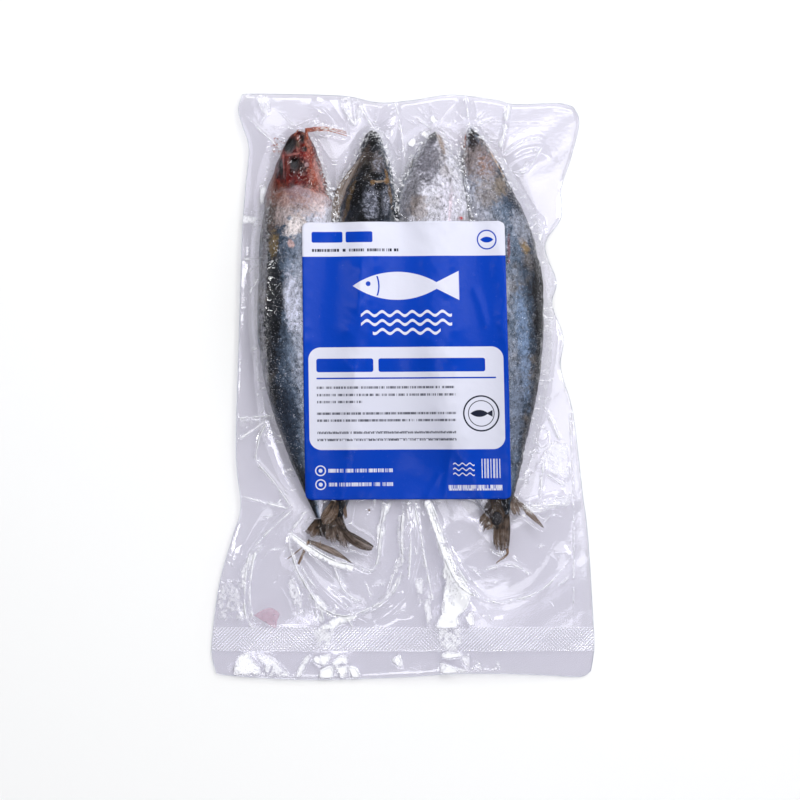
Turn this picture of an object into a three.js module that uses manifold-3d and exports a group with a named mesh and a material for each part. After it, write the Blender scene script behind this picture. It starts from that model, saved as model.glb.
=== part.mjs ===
// A clear vacuum pouch of four whole raw mackerel, lying flat with its label up.
// Millimetres. +X is the pack's right, +Y runs towards the fish heads, +Z is up, and z = 0 is the table.
// The film is drawn tight over the fish, so the pouch is modelled as the solid that the film encloses.
import * as THREE from "three";
import { mergeVertices } from "three/addons/utils/BufferGeometryUtils.js";
import Module from "manifold-3d";

const wasm = await Module();
wasm.setup();

// The pouch before it was filled and pumped out: an 8 by 12 inch bag.
const HALF_WIDTH = 99;
const HALF_LENGTH = 152;

// The flat border is two webs of film welded together. It floats a little above the table, droops to
// its edges, waves softly, and curls up at the left corner by the heads.
const WEB_THICKNESS = 0.8;
const SEAL_HEIGHT = 5.2;
const SIDE_DROOP = 2.2;
const END_DROOP = 2.4;
const WAVE = { height: 0.8, along: 13, across: 31, ripple: 17, rippleShare: 0.6 };
const CORNER_CURL = { place: [-88, 156], height: 3.2, reach: 16 };

// The radius of the hollow that the film leaves where it crosses from one fish to the next or down to
// the border. The label stiffens the film under it, and the table holds the underside out.
const BRIDGE_RADIUS = 7;
const LABEL_BRIDGE_RADIUS = 34;
const UNDER_BRIDGE_RADIUS = 18;
const DRAPE_PASSES = 420;

// Cells of the pouch's two faces, across and along.
const CELLS_ACROSS = 40;
const CELLS_ALONG = 56;

// The pouch's edge, drawn in between the fish as the air was pumped out. Each side runs
// corner to corner, and the ends of the sides are the middles of the rounded corners.
const LEFT_EDGE = [
  [-97.3, -147.2], [-99.3, -135], [-95.4, -103], [-88.6, -78], [-84.2, -62], [-86.6, -33],
  [-84.9, 34], [-83.6, 76], [-81.8, 103], [-80, 124], [-83.4, 136], [-85.4, 144], [-83.2, 151.9],
];
const RIGHT_EDGE = [
  [97.6, -147.4], [99.3, -136], [98.6, -117], [96, -77], [93.2, -54], [88.2, -13], [81.9, 9.5],
  [83.2, 25.5], [77.5, 43], [79.6, 55], [73.8, 73.5], [82, 88], [82.2, 103.5], [87.2, 119],
  [91.6, 137.5], [88.6, 145.6],
];
const FOOT_EDGE = [
  [-97.3, -147.2], [-91.5, -149.6], [-48, -152], [0, -150.6], [26, -148.8], [52, -148.8],
  [74, -149.6], [92, -150.4], [97.6, -147.4],
];
const HEAD_EDGE = [
  [-83.2, 151.9], [-73, 152.2], [-33, 151.4], [-12, 147.8], [5, 149], [25.5, 151.8], [48, 149.2],
  [58, 147], [80.5, 147.6], [88.6, 145.6],
];

// Four fish side by side, heads to +Y. Each one's middle line is bowed, and it tapers to snout and tail.
// line: the middle line's places, snout to tail root; width across the pack; height above the table;
// fullFrom: the share of the length where the body is full; bluntness: how blunt the snout is, from 1.
const FISH = [
  {
    line: [[-54, 133.5], [-54, 108], [-55.5, 60], [-56, 20], [-51.5, -28], [-44, -66]],
    width: 39.5, height: 27, fullFrom: 0.28, bluntness: 1.25,
  },
  {
    line: [[-15.5, 133.5], [-17.5, 108], [-21, 60], [-22.5, 20], [-26.5, -28], [-31.5, -62]],
    width: 34.5, height: 29, fullFrom: 0.36, bluntness: 1.1,
  },
  {
    line: [[17.2, 133], [13.5, 108], [16.5, 60], [19.5, 20], [29, -28], [46, -64]],
    width: 37.5, height: 27, fullFrom: 0.3, bluntness: 1.2,
  },
  {
    line: [[36.5, 134.5], [43, 108], [54.5, 60], [56, 20], [53.5, -28], [53, -60]],
    width: 34.5, height: 26, fullFrom: 0.3, bluntness: 1.4,
  },
];
const LINE_STEPS = 80;
const FULL_TO = 0.45;
const TAIL_TAPER = 1.8;
const TAIL_ROOT_SHARE = 0.1;
// The weight of the pack presses each fish flat underneath, by this share of its half height.
const PRESSED_FLAT = 0.15;
// A tail fin lies past each tail root as a thin fan that is thinnest at its end.
const TAIL_FIN = { length: 24, spread: 13, height: 2.4, endShare: 0.3 };

// Large folds of slack film: a ridge from a to b that bows sideways by bow.
const FOLDS = [
  { a: [-71, -62], b: [-83, -125], bow: 9, width: 8, height: 2.8 },
  { a: [-58, -74], b: [-30, -108], bow: 5, width: 7, height: 2.4 },
  { a: [-58, -74], b: [-15, -124], bow: 7, width: 8, height: 2.8 },
  { a: [-15, -122], b: [9, -76], bow: 8, width: 8, height: 2.8 },
  { a: [2, -56], b: [0, -120], bow: -2, width: 9, height: 3.4 },
  { a: [14, -60], b: [42, -118], bow: 6, width: 10, height: 4 },
  { a: [42, -118], b: [86, -84], bow: 9, width: 11, height: 2.4 },
  { a: [60, -62], b: [84, -56], bow: 2, width: 8, height: 2 },
  { a: [50, 108], b: [76, 122], bow: -4, width: 7, height: 2.2 },
  { a: [-46, 150], b: [-28, 128], bow: 0, width: 6, height: 1.8 },
  { a: [-4, 150], b: [-10, 128], bow: 0, width: 6, height: 1.8 },
  { a: [32, 150], b: [34, 134], bow: 0, width: 6, height: 1.6 },
];
// How suddenly a fold ends: 1 fades it along its whole length, and less keeps it full for longer.
const FOLD_ENDS = 0.6;

// The label: a sticker on the film, a little wider at its foot, with rounded corners.
const LABEL_CORNERS = [[-50.6, -58.5], [56.2, -58], [52.2, 85.6], [-52, 84.8]];
const LABEL_CORNER_RADIUS = 3;
const CORNER_STEPS = 4;
const LABEL_GAP = 0.3;
const LABEL_THICKNESS = 0.5;
const LABEL_CUTTER_HEIGHT = 60;

const smooth = (x) => x * x * (3 - 2 * x);
const clamp01 = (x) => Math.min(1, Math.max(0, x));
const curveThrough = (points) => new THREE.SplineCurve(points.map(([x, y]) => new THREE.Vector2(x, y)));

// A point of the pouch's plan, blended between its four edges (a Coons patch); u is across, v along.
const sides = {
  left: curveThrough(LEFT_EDGE),
  right: curveThrough(RIGHT_EDGE),
  foot: curveThrough(FOOT_EDGE),
  head: curveThrough(HEAD_EDGE),
};
const corner = (points) => new THREE.Vector2(...points);
const corners = {
  leftFoot: corner(LEFT_EDGE[0]),
  rightFoot: corner(RIGHT_EDGE[0]),
  leftHead: corner(LEFT_EDGE.at(-1)),
  rightHead: corner(RIGHT_EDGE.at(-1)),
};
function planPoint(u, v) {
  const across = sides.left.getPointAt(v).multiplyScalar(1 - u);
  across.addScaledVector(sides.right.getPointAt(v), u);
  const along = sides.foot.getPointAt(u).multiplyScalar(1 - v);
  along.addScaledVector(sides.head.getPointAt(u), v);
  const twist = corners.leftFoot.clone().multiplyScalar((1 - u) * (1 - v));
  twist.addScaledVector(corners.rightFoot, u * (1 - v));
  twist.addScaledVector(corners.leftHead, (1 - u) * v);
  twist.addScaledVector(corners.rightHead, u * v);
  return across.add(along).sub(twist);
}

// How broad a fish is at share t of its length, from 0 at the snout to 1 at the tail root.
function girth(t, { fullFrom, bluntness }) {
  if (t <= 0 || t > 1) return 0;
  if (t < fullFrom) return (1 - (1 - t / fullFrom) ** 2) ** (1 / bluntness);
  const past = clamp01((t - FULL_TO) / (1 - FULL_TO));
  return 1 - (1 - TAIL_ROOT_SHARE) * past ** TAIL_TAPER;
}

// The middle line's x at a height y up the pack, read off a smooth curve through its places.
function lineReader(places) {
  const run = curveThrough(places).getPoints(LINE_STEPS);
  return (y) => {
    const next = run.findIndex((p) => p.y <= y);
    if (next <= 0) return (next === 0 ? run[0] : run.at(-1)).x;
    const [a, b] = [run[next - 1], run[next]];
    return a.x + ((b.x - a.x) * (a.y - y)) / (a.y - b.y);
  };
}
const fishLines = FISH.map(({ line }) => lineReader(line));

// The height of the welded border's middle.
function sealHeight(x, y) {
  const droop = SIDE_DROOP * (Math.abs(x) / HALF_WIDTH) ** 4 + END_DROOP * (Math.abs(y) / HALF_LENGTH) ** 6;
  const swell = Math.sin(y / WAVE.along) * Math.sin(x / WAVE.across);
  const wave = WAVE.height * (swell + WAVE.rippleShare * Math.sin(x / WAVE.ripple));
  const [curlX, curlY] = CORNER_CURL.place;
  const far = Math.hypot(x - curlX, y - curlY) / CORNER_CURL.reach;
  return SEAL_HEIGHT - droop + wave + CORNER_CURL.height * Math.exp(-(far ** 2) / 2);
}

// The top and the underside of the fish at a point; the top is -Infinity where there is no fish.
function fishSpan(x, y) {
  let top = -Infinity;
  let under = Infinity;
  FISH.forEach((fish, i) => {
    const [snoutY, rootY] = [fish.line[0][1], fish.line.at(-1)[1]];
    const off = Math.abs(x - fishLines[i](y));
    const share = girth((snoutY - y) / (snoutY - rootY), fish);
    const halfWidth = (fish.width / 2) * share;
    if (off < halfWidth) {
      const halfHeight = (fish.height / (2 - PRESSED_FLAT)) * share;
      const middle = SEAL_HEIGHT + (halfHeight * (1 - PRESSED_FLAT) - SEAL_HEIGHT) * smooth(share);
      const rise = halfHeight * Math.sqrt(1 - (off / halfWidth) ** 2);
      top = Math.max(top, middle + rise);
      under = Math.min(under, middle - rise);
    }
    const finShare = (rootY - y) / TAIL_FIN.length;
    const finHalfWidth = (fish.width / 2) * TAIL_ROOT_SHARE + TAIL_FIN.spread * finShare;
    if (finShare > 0 && finShare < 1 && off < finHalfWidth) {
      const rise = TAIL_FIN.height * (1 - (1 - TAIL_FIN.endShare) * finShare);
      top = Math.max(top, SEAL_HEIGHT + rise);
      under = Math.min(under, SEAL_HEIGHT - rise);
    }
  });
  return { top, under };
}

// How far a fold lifts the film at a point: a rounded ridge that dies away at its ends.
function foldLift(x, y) {
  let lift = 0;
  for (const { a, b, bow, width, height } of FOLDS) {
    const [dx, dy] = [b[0] - a[0], b[1] - a[1]];
    const long = Math.hypot(dx, dy);
    const along = ((x - a[0]) * dx + (y - a[1]) * dy) / long ** 2;
    if (along <= 0 || along >= 1) continue;
    const aside = ((x - a[0]) * dy - (y - a[1]) * dx) / long - bow * 4 * along * (1 - along);
    const profile = Math.exp(-((aside / (width / 2)) ** 2));
    lift = Math.max(lift, height * profile * Math.sin(Math.PI * along) ** FOLD_ENDS);
  }
  return lift;
}

// Whether a point lies under the label, by the sides of its four-cornered outline.
const underLabel = ({ x, y }) =>
  LABEL_CORNERS.every(([ax, ay], k) => {
    const [bx, by] = LABEL_CORNERS[(k + 1) % LABEL_CORNERS.length];
    return (bx - ax) * (y - ay) - (by - ay) * (x - ax) > 0;
  });

// The pouch's plan on a grid, and the film relaxed over it from above and from below.
const columns = CELLS_ACROSS + 1;
const rows = CELLS_ALONG + 1;
const at = (i, j) => j * columns + i;
const plan = [];
for (let j = 0; j < rows; j += 1) {
  for (let i = 0; i < columns; i += 1) plan.push(planPoint(i / CELLS_ACROSS, j / CELLS_ALONG));
}
const isEdge = (k) => {
  const [i, j] = [k % columns, Math.floor(k / columns)];
  return i === 0 || j === 0 || i === columns - 1 || j === rows - 1;
};
const spans = plan.map(({ x, y }) => fishSpan(x, y));
const seals = plan.map(({ x, y }) => sealHeight(x, y));
const lifts = plan.map(({ x, y }, k) => (isEdge(k) ? 0 : foldLift(x, y)));
const underLimit = seals.map((seal, k) => Math.max(0, Math.min(seal - WEB_THICKNESS / 2, spans[k].under)));
const topLimit = seals.map((seal, k) => {
  const web = Math.max(seal + WEB_THICKNESS / 2, underLimit[k] + WEB_THICKNESS);
  return Math.max(web + lifts[k], spans[k].top);
});

// Film pulled tight over its limit from the side of sense, 1 from above and -1 from below.
function drape(limit, sense, bridgeRadii) {
  const cell = (2 * HALF_WIDTH) / CELLS_ACROSS;
  let height = limit.slice();
  for (let pass = 0; pass < DRAPE_PASSES; pass += 1) {
    const next = height.slice();
    for (let j = 1; j < rows - 1; j += 1) {
      for (let i = 1; i < columns - 1; i += 1) {
        const k = at(i, j);
        const beside = height[at(i - 1, j)] + height[at(i + 1, j)];
        const endwise = height[at(i, j - 1)] + height[at(i, j + 1)];
        const relaxed = (sense * (beside + endwise)) / 4 - cell ** 2 / (4 * bridgeRadii[k]);
        next[k] = sense * Math.max(relaxed, sense * limit[k]);
      }
    }
    height = next;
  }
  return height;
}
const topRadii = plan.map((point) => (underLabel(point) ? LABEL_BRIDGE_RADIUS : BRIDGE_RADIUS));
const underRadii = plan.map(() => UNDER_BRIDGE_RADIUS);
const topFace = drape(topLimit, 1, topRadii);
const underFace = drape(underLimit, -1, underRadii);

// A closed solid between two faces of heights on the plan's grid, both split into triangles alike.
function solidBetween(lower, upper) {
  const points = [];
  plan.forEach(({ x, y }, k) => points.push(x, y, lower[k]));
  plan.forEach(({ x, y }, k) => points.push(x, y, upper[k]));
  const above = columns * rows;
  const index = [];
  const quad = (a, b, c, d) => index.push(a, b, c, a, c, d);
  for (let j = 0; j < rows - 1; j += 1) {
    for (let i = 0; i < columns - 1; i += 1) {
      const [a, b, c, d] = [at(i, j), at(i + 1, j), at(i + 1, j + 1), at(i, j + 1)];
      quad(above + a, above + b, above + c, above + d);
      quad(a, d, c, b);
    }
  }
  const wall = (a, b) => quad(a, b, above + b, above + a);
  for (let i = 0; i < columns - 1; i += 1) {
    wall(at(i, 0), at(i + 1, 0));
    wall(at(i + 1, rows - 1), at(i, rows - 1));
  }
  for (let j = 0; j < rows - 1; j += 1) {
    wall(at(0, j + 1), at(0, j));
    wall(at(columns - 1, j), at(columns - 1, j + 1));
  }
  const geometry = new THREE.BufferGeometry();
  geometry.setAttribute("position", new THREE.Float32BufferAttribute(points, 3));
  geometry.setIndex(index);
  return geometry;
}

function toManifold(geometry) {
  const bare = geometry.clone();
  bare.deleteAttribute("normal");
  bare.deleteAttribute("uv");
  const merged = mergeVertices(bare);
  return new wasm.Manifold(
    new wasm.Mesh({
      numProp: 3,
      vertProperties: merged.attributes.position.array,
      triVerts: new Uint32Array(merged.index.array),
    }),
  );
}

function toGeometry(solid) {
  const { vertProperties, triVerts } = solid.getMesh();
  const geometry = new THREE.BufferGeometry();
  geometry.setAttribute("position", new THREE.BufferAttribute(vertProperties, 3));
  geometry.setIndex(new THREE.BufferAttribute(triVerts, 1));
  geometry.computeVertexNormals();
  return geometry;
}

function makePouch() {
  const geometry = solidBetween(underFace, topFace);
  geometry.computeVertexNormals();
  const film = new THREE.MeshStandardMaterial({ color: 0xc9cad9, roughness: 0.12, metalness: 0 });
  const mesh = new THREE.Mesh(geometry, film);
  mesh.name = "pouch";
  return mesh;
}

// The label's outline, with each corner cut back by its radius and rounded by one curve.
function labelOutline() {
  const points = LABEL_CORNERS.map(([x, y]) => new THREE.Vector2(x, y));
  const shape = new THREE.Shape();
  points.forEach((here, k) => {
    const before = points.at(k - 1);
    const after = points[(k + 1) % points.length];
    const enter = here.clone().add(before.clone().sub(here).setLength(LABEL_CORNER_RADIUS));
    const leave = here.clone().add(after.clone().sub(here).setLength(LABEL_CORNER_RADIUS));
    if (k === 0) shape.moveTo(enter.x, enter.y);
    else shape.lineTo(enter.x, enter.y);
    shape.quadraticCurveTo(here.x, here.y, leave.x, leave.y);
  });
  shape.closePath();
  return shape;
}

// The label is a thin slab that keeps to the film: the film's top raised twice, cut to the outline.
function makeLabel() {
  const lower = topFace.map((z) => z + LABEL_GAP);
  const upper = topFace.map((z) => z + LABEL_GAP + LABEL_THICKNESS);
  const cutter = new THREE.ExtrudeGeometry(labelOutline(), {
    depth: LABEL_CUTTER_HEIGHT,
    bevelEnabled: false,
    curveSegments: CORNER_STEPS,
  });
  const slab = toManifold(solidBetween(lower, upper)).intersect(toManifold(cutter));
  const paper = new THREE.MeshStandardMaterial({ color: 0x1746b8, roughness: 0.35, metalness: 0 });
  const mesh = new THREE.Mesh(toGeometry(slab), paper);
  mesh.name = "label";
  return mesh;
}

// The origin is on the table under the middle of the pouch's plan.
const extent = new THREE.Box2().setFromPoints(plan);
const middle = extent.getCenter(new THREE.Vector2());
const pack = new THREE.Group();
pack.position.set(-middle.x, -middle.y, 0);
pack.add(makePouch(), makeLabel());

const model = new THREE.Group();
model.add(pack);

export default model;
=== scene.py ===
"""A clear vacuum pouch of four whole raw mackerel with a printed label, lying flat, label up."""
import math

import bpy
import numpy as np
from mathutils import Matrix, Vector
from mathutils.bvhtree import BVHTree


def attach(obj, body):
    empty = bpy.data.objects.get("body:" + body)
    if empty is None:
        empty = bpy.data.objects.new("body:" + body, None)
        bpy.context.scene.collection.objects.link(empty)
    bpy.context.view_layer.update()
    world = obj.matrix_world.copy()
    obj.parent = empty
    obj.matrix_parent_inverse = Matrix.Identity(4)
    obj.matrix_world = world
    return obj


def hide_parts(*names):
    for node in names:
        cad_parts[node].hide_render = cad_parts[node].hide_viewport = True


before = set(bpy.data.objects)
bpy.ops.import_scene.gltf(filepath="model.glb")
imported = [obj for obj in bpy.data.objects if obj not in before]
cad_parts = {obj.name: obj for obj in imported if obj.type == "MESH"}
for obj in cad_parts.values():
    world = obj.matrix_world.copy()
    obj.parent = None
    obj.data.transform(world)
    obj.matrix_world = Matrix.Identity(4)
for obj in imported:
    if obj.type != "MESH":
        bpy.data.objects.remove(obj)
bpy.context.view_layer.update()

# The pouch's plan, in millimetres like every place below: an 8 by 12 inch bag, drawn in between the
# fish as the air was pumped out. Its four edges run corner to corner, and the rest is blended between.
LEFT_EDGE = [
    (-97.3, -147.2), (-99.3, -135), (-95.4, -103), (-88.6, -78), (-84.2, -62), (-86.6, -33), (-84.9, 34),
    (-83.6, 76), (-81.8, 103), (-80, 124), (-83.4, 136), (-85.4, 144), (-83.2, 151.9),
]
RIGHT_EDGE = [
    (97.6, -147.4), (99.3, -136), (98.6, -117), (96, -77), (93.2, -54), (88.2, -13), (81.9, 9.5),
    (83.2, 25.5), (77.5, 43), (79.6, 55), (73.8, 73.5), (82, 88), (82.2, 103.5), (87.2, 119),
    (91.6, 137.5), (88.6, 145.6),
]
FOOT_EDGE = [
    (-97.3, -147.2), (-91.5, -149.6), (-48, -152), (0, -150.6), (26, -148.8), (52, -148.8),
    (74, -149.6), (92, -150.4), (97.6, -147.4),
]
HEAD_EDGE = [
    (-83.2, 151.9), (-73, 152.2), (-33, 151.4), (-12, 147.8), (5, 149), (25.5, 151.8), (48, 149.2),
    (58, 147), (80.5, 147.6), (88.6, 145.6),
]
HALF_WIDTH = 99
HALF_LENGTH = 152


def curve_through(places, steps=900):
    """Points of a smooth curve through places."""
    here = np.linspace(0, len(places) - 1, steps + 1)
    piece = np.minimum(here.astype(int), len(places) - 2)
    share = (here - piece)[:, None]
    padded = np.array([places[0], *places, places[-1]], float)
    before, start, end, beyond = (padded[piece + k] for k in range(4))
    leaving, arriving = (end - before) / 2, (beyond - start) / 2
    cubic = (2 * start - 2 * end + leaving + arriving) * share**3
    square = (3 * end - 3 * start - 2 * leaving - arriving) * share**2
    return cubic + square + leaving * share + start


def along_curve(curve, share):
    """The places at these shares of a curve's length."""
    far = np.concatenate([[0], np.cumsum(np.linalg.norm(np.diff(curve, axis=0), axis=1))])
    return np.stack([np.interp(share * far[-1], far, column) for column in curve.T], -1)


left, right, foot, head = (curve_through(e) for e in (LEFT_EDGE, RIGHT_EDGE, FOOT_EDGE, HEAD_EDGE))
rim = np.concatenate([foot, right, head[::-1], left[::-1]])
middle = np.array([*(rim.min(0) + rim.max(0)) / 2, 0])


def plan_grid(across, along):
    """The pouch's plan as a grid of places: row by row from the foot, left to right."""
    u = np.linspace(0, 1, across + 1)
    v = np.linspace(0, 1, along + 1)[:, None]
    sides = (1 - u)[None, :, None] * along_curve(left, v[:, 0])[:, None]
    sides = sides + u[None, :, None] * along_curve(right, v[:, 0])[:, None]
    ends = (1 - v)[:, :, None] * along_curve(foot, u)[None] + v[:, :, None] * along_curve(head, u)[None]
    twist = np.einsum("ji,k->jik", (1 - v) * (1 - u), foot[0]) + np.einsum("ji,k->jik", (1 - v) * u, foot[-1])
    twist = twist + np.einsum("ji,k->jik", v * (1 - u), head[0]) + np.einsum("ji,k->jik", v * u, head[-1])
    return sides + ends - twist


# The welded border floats a little above the table: it droops to its edges, waves softly, and curls up
# at the left corner by the heads. The fish and their fins are placed against its height too.
SEAL_HEIGHT = 5.2
SIDE_DROOP = 2.2
END_DROOP = 2.4
WAVE_HEIGHT = 0.8
CURL_PLACE = (-88, 156)
CURL_HEIGHT = 3.2
CURL_REACH = 16


def seal_height(x, y):
    """The height of the middle of the welded border."""
    droop = SIDE_DROOP * (np.abs(x) / HALF_WIDTH) ** 4 + END_DROOP * (np.abs(y) / HALF_LENGTH) ** 6
    wave = WAVE_HEIGHT * (np.sin(y / 13) * np.sin(x / 31) + 0.6 * np.sin(x / 17))
    far = np.hypot(x - CURL_PLACE[0], y - CURL_PLACE[1]) / CURL_REACH
    return SEAL_HEIGHT - droop + wave + CURL_HEIGHT * np.exp(-(far**2) / 2)


# Four whole mackerel side by side, heads to +Y, pressed flat underneath and against each other. Each
# one's middle line runs from snout to tail root, and its back is turned by degrees from the right over
# the top. It is full from a share of its length on, behind a blunt or sharp snout.
FISH = [
    dict(line=[(-53.6, 133), (-54.2, 108), (-55.5, 60), (-56, 20), (-51, -28), (-43.4, -68)],
         width=39.5, height=27, full_from=0.33, bluntness=1.3, tip=0.02, back=140),
    dict(line=[(-15.8, 133.4), (-16.6, 108), (-20, 60), (-22.5, 20), (-26.5, -28), (-33, -68)],
         width=34.5, height=29, full_from=0.38, bluntness=1.15, tip=0.03, back=95),
    dict(line=[(16.6, 132.8), (16, 108), (16.5, 60), (19.5, 20), (29, -28), (46, -68)],
         width=38.5, height=27, full_from=0.24, bluntness=1.3, tip=0.004, back=250),
    dict(line=[(35, 134.6), (42.4, 108), (52.8, 70), (56, 20), (54, -28), (53.5, -66)],
         width=35.5, height=26, full_from=0.4, bluntness=1.5, tip=0.008, back=12),
]
FULL_TO = 0.45
TAIL_TAPER = 2.0
TAIL_ROOT_SHARE = 0.1
TIP_ROUND = 0.016
PRESSED_FLAT = 0.15
FILM_ROOM = 0.3
TABLE_ROOM = 0.4
FINLET_PITCH = 0.036
SIDE_LINE_TURN = 62
SIDE_LINE_DEEP = 0.18
RELIEF_ROOM = 0.45
RINGS = 250
RING_POINTS = 120


def smooth(x):
    """0 to 1 as x goes from 0 to 1, easing at both ends."""
    x = np.clip(x, 0, 1)
    return x * x * (3 - 2 * x)


def bell(x):
    """1 where x is 0, dying away by about 2."""
    return np.exp(-(x**2))


def girth(t, fish):
    """How broad a fish is at share t of its length, of its full breadth."""
    t = np.clip(t, 0, 1)
    nose = (1 - (1 - np.minimum((t + fish["tip"]) / fish["full_from"], 1)) ** 2) ** (1 / fish["bluntness"])
    nose = nose * np.sqrt(1 - (1 - np.minimum(t / TIP_ROUND, 1)) ** 2)
    past = np.clip((t - FULL_TO) / (1 - FULL_TO), 0, 1)
    return np.where(t < fish["full_from"], nose, 1 - (1 - TAIL_ROOT_SHARE) * past**TAIL_TAPER)


def middle_of(fish, y):
    """The x of a fish's middle line at these heights up the pack."""
    run = curve_through(fish["line"], 80)
    return np.interp(-y, -run[:, 1], run[:, 0])


def half_width_of(fish, y):
    """Half a fish's breadth at these heights up the pack, inside the film."""
    snout, root = fish["line"][0][1], fish["line"][-1][1]
    return np.maximum(fish["width"] / 2 * girth((snout - y) / (snout - root), fish) - FILM_ROOM, 0.02)


def stance(fish, t):
    """At share t of a fish's length, its girth, half its height and the height of its middle line."""
    share = girth(t, fish)
    tall = fish["height"] / (2 - PRESSED_FLAT) * share
    return share, tall, SEAL_HEIGHT + (tall * (1 - PRESSED_FLAT) - SEAL_HEIGHT) * smooth(share)


def lumps(points, size, seed):
    """Soft lumps about as large as size, between about -1 and 1."""
    draw = np.random.default_rng(seed)
    waves = draw.normal(size=(14, points.shape[-1])) * 2.2 / size
    phases = draw.uniform(0, 2 * math.pi, 14)
    return np.sin(points @ waves.T + phases).sum(-1) / 5


# The relief of the skin, in millimetres, goes by the share of the length from the snout and by the
# degrees round from the back.
def gill_cover(t, turn):
    """The gill cover's bowed rear edge, a step down onto the shoulder, and the groove before it."""
    edge = 0.225 - 0.035 * ((turn - 100) / 55) ** 2
    side = smooth((turn - 30) / 15) * smooth((172 - turn) / 15)
    step = smooth((edge - t) / 0.012) * smooth((t - 0.1) / 0.06)
    cheek = bell((t - edge + 0.075) / 0.007)
    return side * (step - 0.45 * cheek)


def mouth(t, turn):
    """The line of the shut mouth, from the tip of the snout back along the jaw."""
    return -0.6 * bell((turn - 104 - 260 * t) / 5) * smooth((0.1 - t) / 0.02) * smooth(t / 0.01)


def folded_fins(t, turn):
    """The two dorsal fins folded into the back, the anal fin, and the row of finlets to the tail."""
    back, belly = bell(turn / 4.5), bell((180 - turn) / 4.5)
    sail = smooth((t - 0.33) / 0.03) * smooth((0.5 - t) / 0.1)
    rear = 0.6 * smooth((t - 0.6) / 0.02) * smooth((0.72 - t) / 0.08)
    teeth = np.maximum(0, np.sin((t - 0.75) * 2 * math.pi / FINLET_PITCH)) ** 2
    finlets = 0.45 * smooth((t - 0.75) / 0.02) * teeth
    return 1.1 * back * (sail + rear + finlets) + 0.9 * belly * (rear + finlets)


def fish_body(number):
    """A fish's skin as rings from snout to tail root, with each point's turn from the back."""
    fish = FISH[number]
    snout, root = fish["line"][0][1], fish["line"][-1][1]
    t = (np.linspace(0.004, 1, RINGS) ** 1.35)[:, None]
    y = snout + (root - snout) * t
    angle = np.linspace(0, 360, RING_POINTS, endpoint=False)[None, :]
    turn = np.abs((angle - fish["back"] + 180) % 360 - 180)
    share, tall, rise = stance(fish, t)
    half_width = half_width_of(fish, y)
    relief = gill_cover(t, turn) + mouth(t, turn) + folded_fins(t, turn)
    side_line = bell((turn - SIDE_LINE_TURN) / 2.2) * smooth((t - 0.24) / 0.03) * smooth((0.95 - t) / 0.1)
    relief = relief - SIDE_LINE_DEEP * side_line
    relief = relief * smooth(share * 2.2) - RELIEF_ROOM
    across, up = np.cos(np.radians(angle)), np.sin(np.radians(angle))
    line = middle_of(fish, y)
    skin = np.stack([line + half_width * across, y + 0 * across, rise + tall * up], -1)
    lumpy = 0.4 * lumps(skin, 11, number) + 0.2 * lumps(skin, 3.4, 20 + number)
    relief = relief + lumpy * smooth(share * 2)
    broad = 1
    if number == 0:
        sunk, bare = flayed_head(skin)
        relief, broad = relief + sunk, 1 - 0.8 * bare
    narrow = np.minimum(1, half_width / 4)
    skin[..., 0] += relief * across * narrow * broad
    skin[..., 2] += (relief * up - FILM_ROOM) * narrow
    for other, side in ((number - 1, -1), (number + 1, 1)):
        if 0 <= other < len(FISH):
            beside = middle_of(FISH[other], y) - side * half_width_of(FISH[other], y)
            touch = (line + side * half_width + beside) / 2
            press = np.where(side * (line + side * half_width - beside) > 0, touch - side * 0.2, side * 1e3)
            skin[..., 0] = side * np.minimum(side * skin[..., 0], side * press)
    skin[..., 2] = np.maximum(skin[..., 2], TABLE_ROOM)
    return skin, turn / 180 + 0 * t


# The first fish has lost the skin of its head: red muscle and bone lie open, with dark hollows where
# the eye and the gills were, and a torn, lifted edge of skin behind them. Each hollow is set out by its
# place, half sizes, turn and depth.
TEAR_LINE = 103
HOLLOWS = [
    (-58.8, 125.6, 2.7, 4.4, -23, 5.0),
    (-52.2, 129, 0.9, 2.2, 0, 3.0),
    (-51, 123.2, 1.3, 1.3, 0, 2.4),
    (-56.4, 115.5, 2.4, 2.7, 0, 2.6),
    (-62.9, 113.5, 1.0, 5, 4, 1.2),
]


def flayed_head(skin):
    """How far the open flesh lies below or above the skin, and how bare each point is."""
    x, y = skin[..., 0], skin[..., 1]
    tear = TEAR_LINE - 0.02 * (x + 55) ** 2 + 0.5 * np.sin(x / 2.3) + 0.4 * np.sin(x / 1.1 + 1)
    bare = smooth((y - tear) / 1.2 + 0.5) * smooth((x + 68 - 0.1 * (y - 100)) / 2)
    strands = 0.55 * np.sin((x - 0.22 * (y - 110)) * 1.25 + lumps(skin, 6, 7)) + 0.5 * lumps(skin, 2.6, 8)
    relief = bare * (-1.1 + strands) + 0.7 * bell((y - tear + 1.2) / 1.3) * smooth((x + 70) / 4)
    top = smooth((skin[..., 2] - 6) / 5)
    for place_x, place_y, half_x, half_y, turn, depth in HOLLOWS:
        turned = np.exp(-1j * math.radians(turn)) * (x - place_x + 1j * (y - place_y))
        far = np.hypot(turned.real / half_x, turned.imag / half_y)
        relief = relief - depth * top * smooth((1.35 - far) / 0.7)
    return relief, bare


def as_quads(rows, columns, closed):
    """The faces of a grid of points, joined round where closed."""
    j, i = np.meshgrid(np.arange(rows - 1), np.arange(columns if closed else columns - 1), indexing="ij")
    here, after = j * columns + i, j * columns + (i + 1) % columns
    return np.stack([here, after, after + columns, here + columns], -1).reshape(-1, 4)


def gather(parts):
    """Several meshes as one: points, faces and, for each point, its part's number."""
    points, faces, owner, count = [], [], [], 0
    for number, (some, quads) in enumerate(parts):
        points.append(some)
        faces.append(np.asarray(quads) + count)
        owner.append(np.full(len(some), number))
        count += len(some)
    return np.concatenate(points), np.concatenate(faces), np.concatenate(owner)


solids = []


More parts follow.
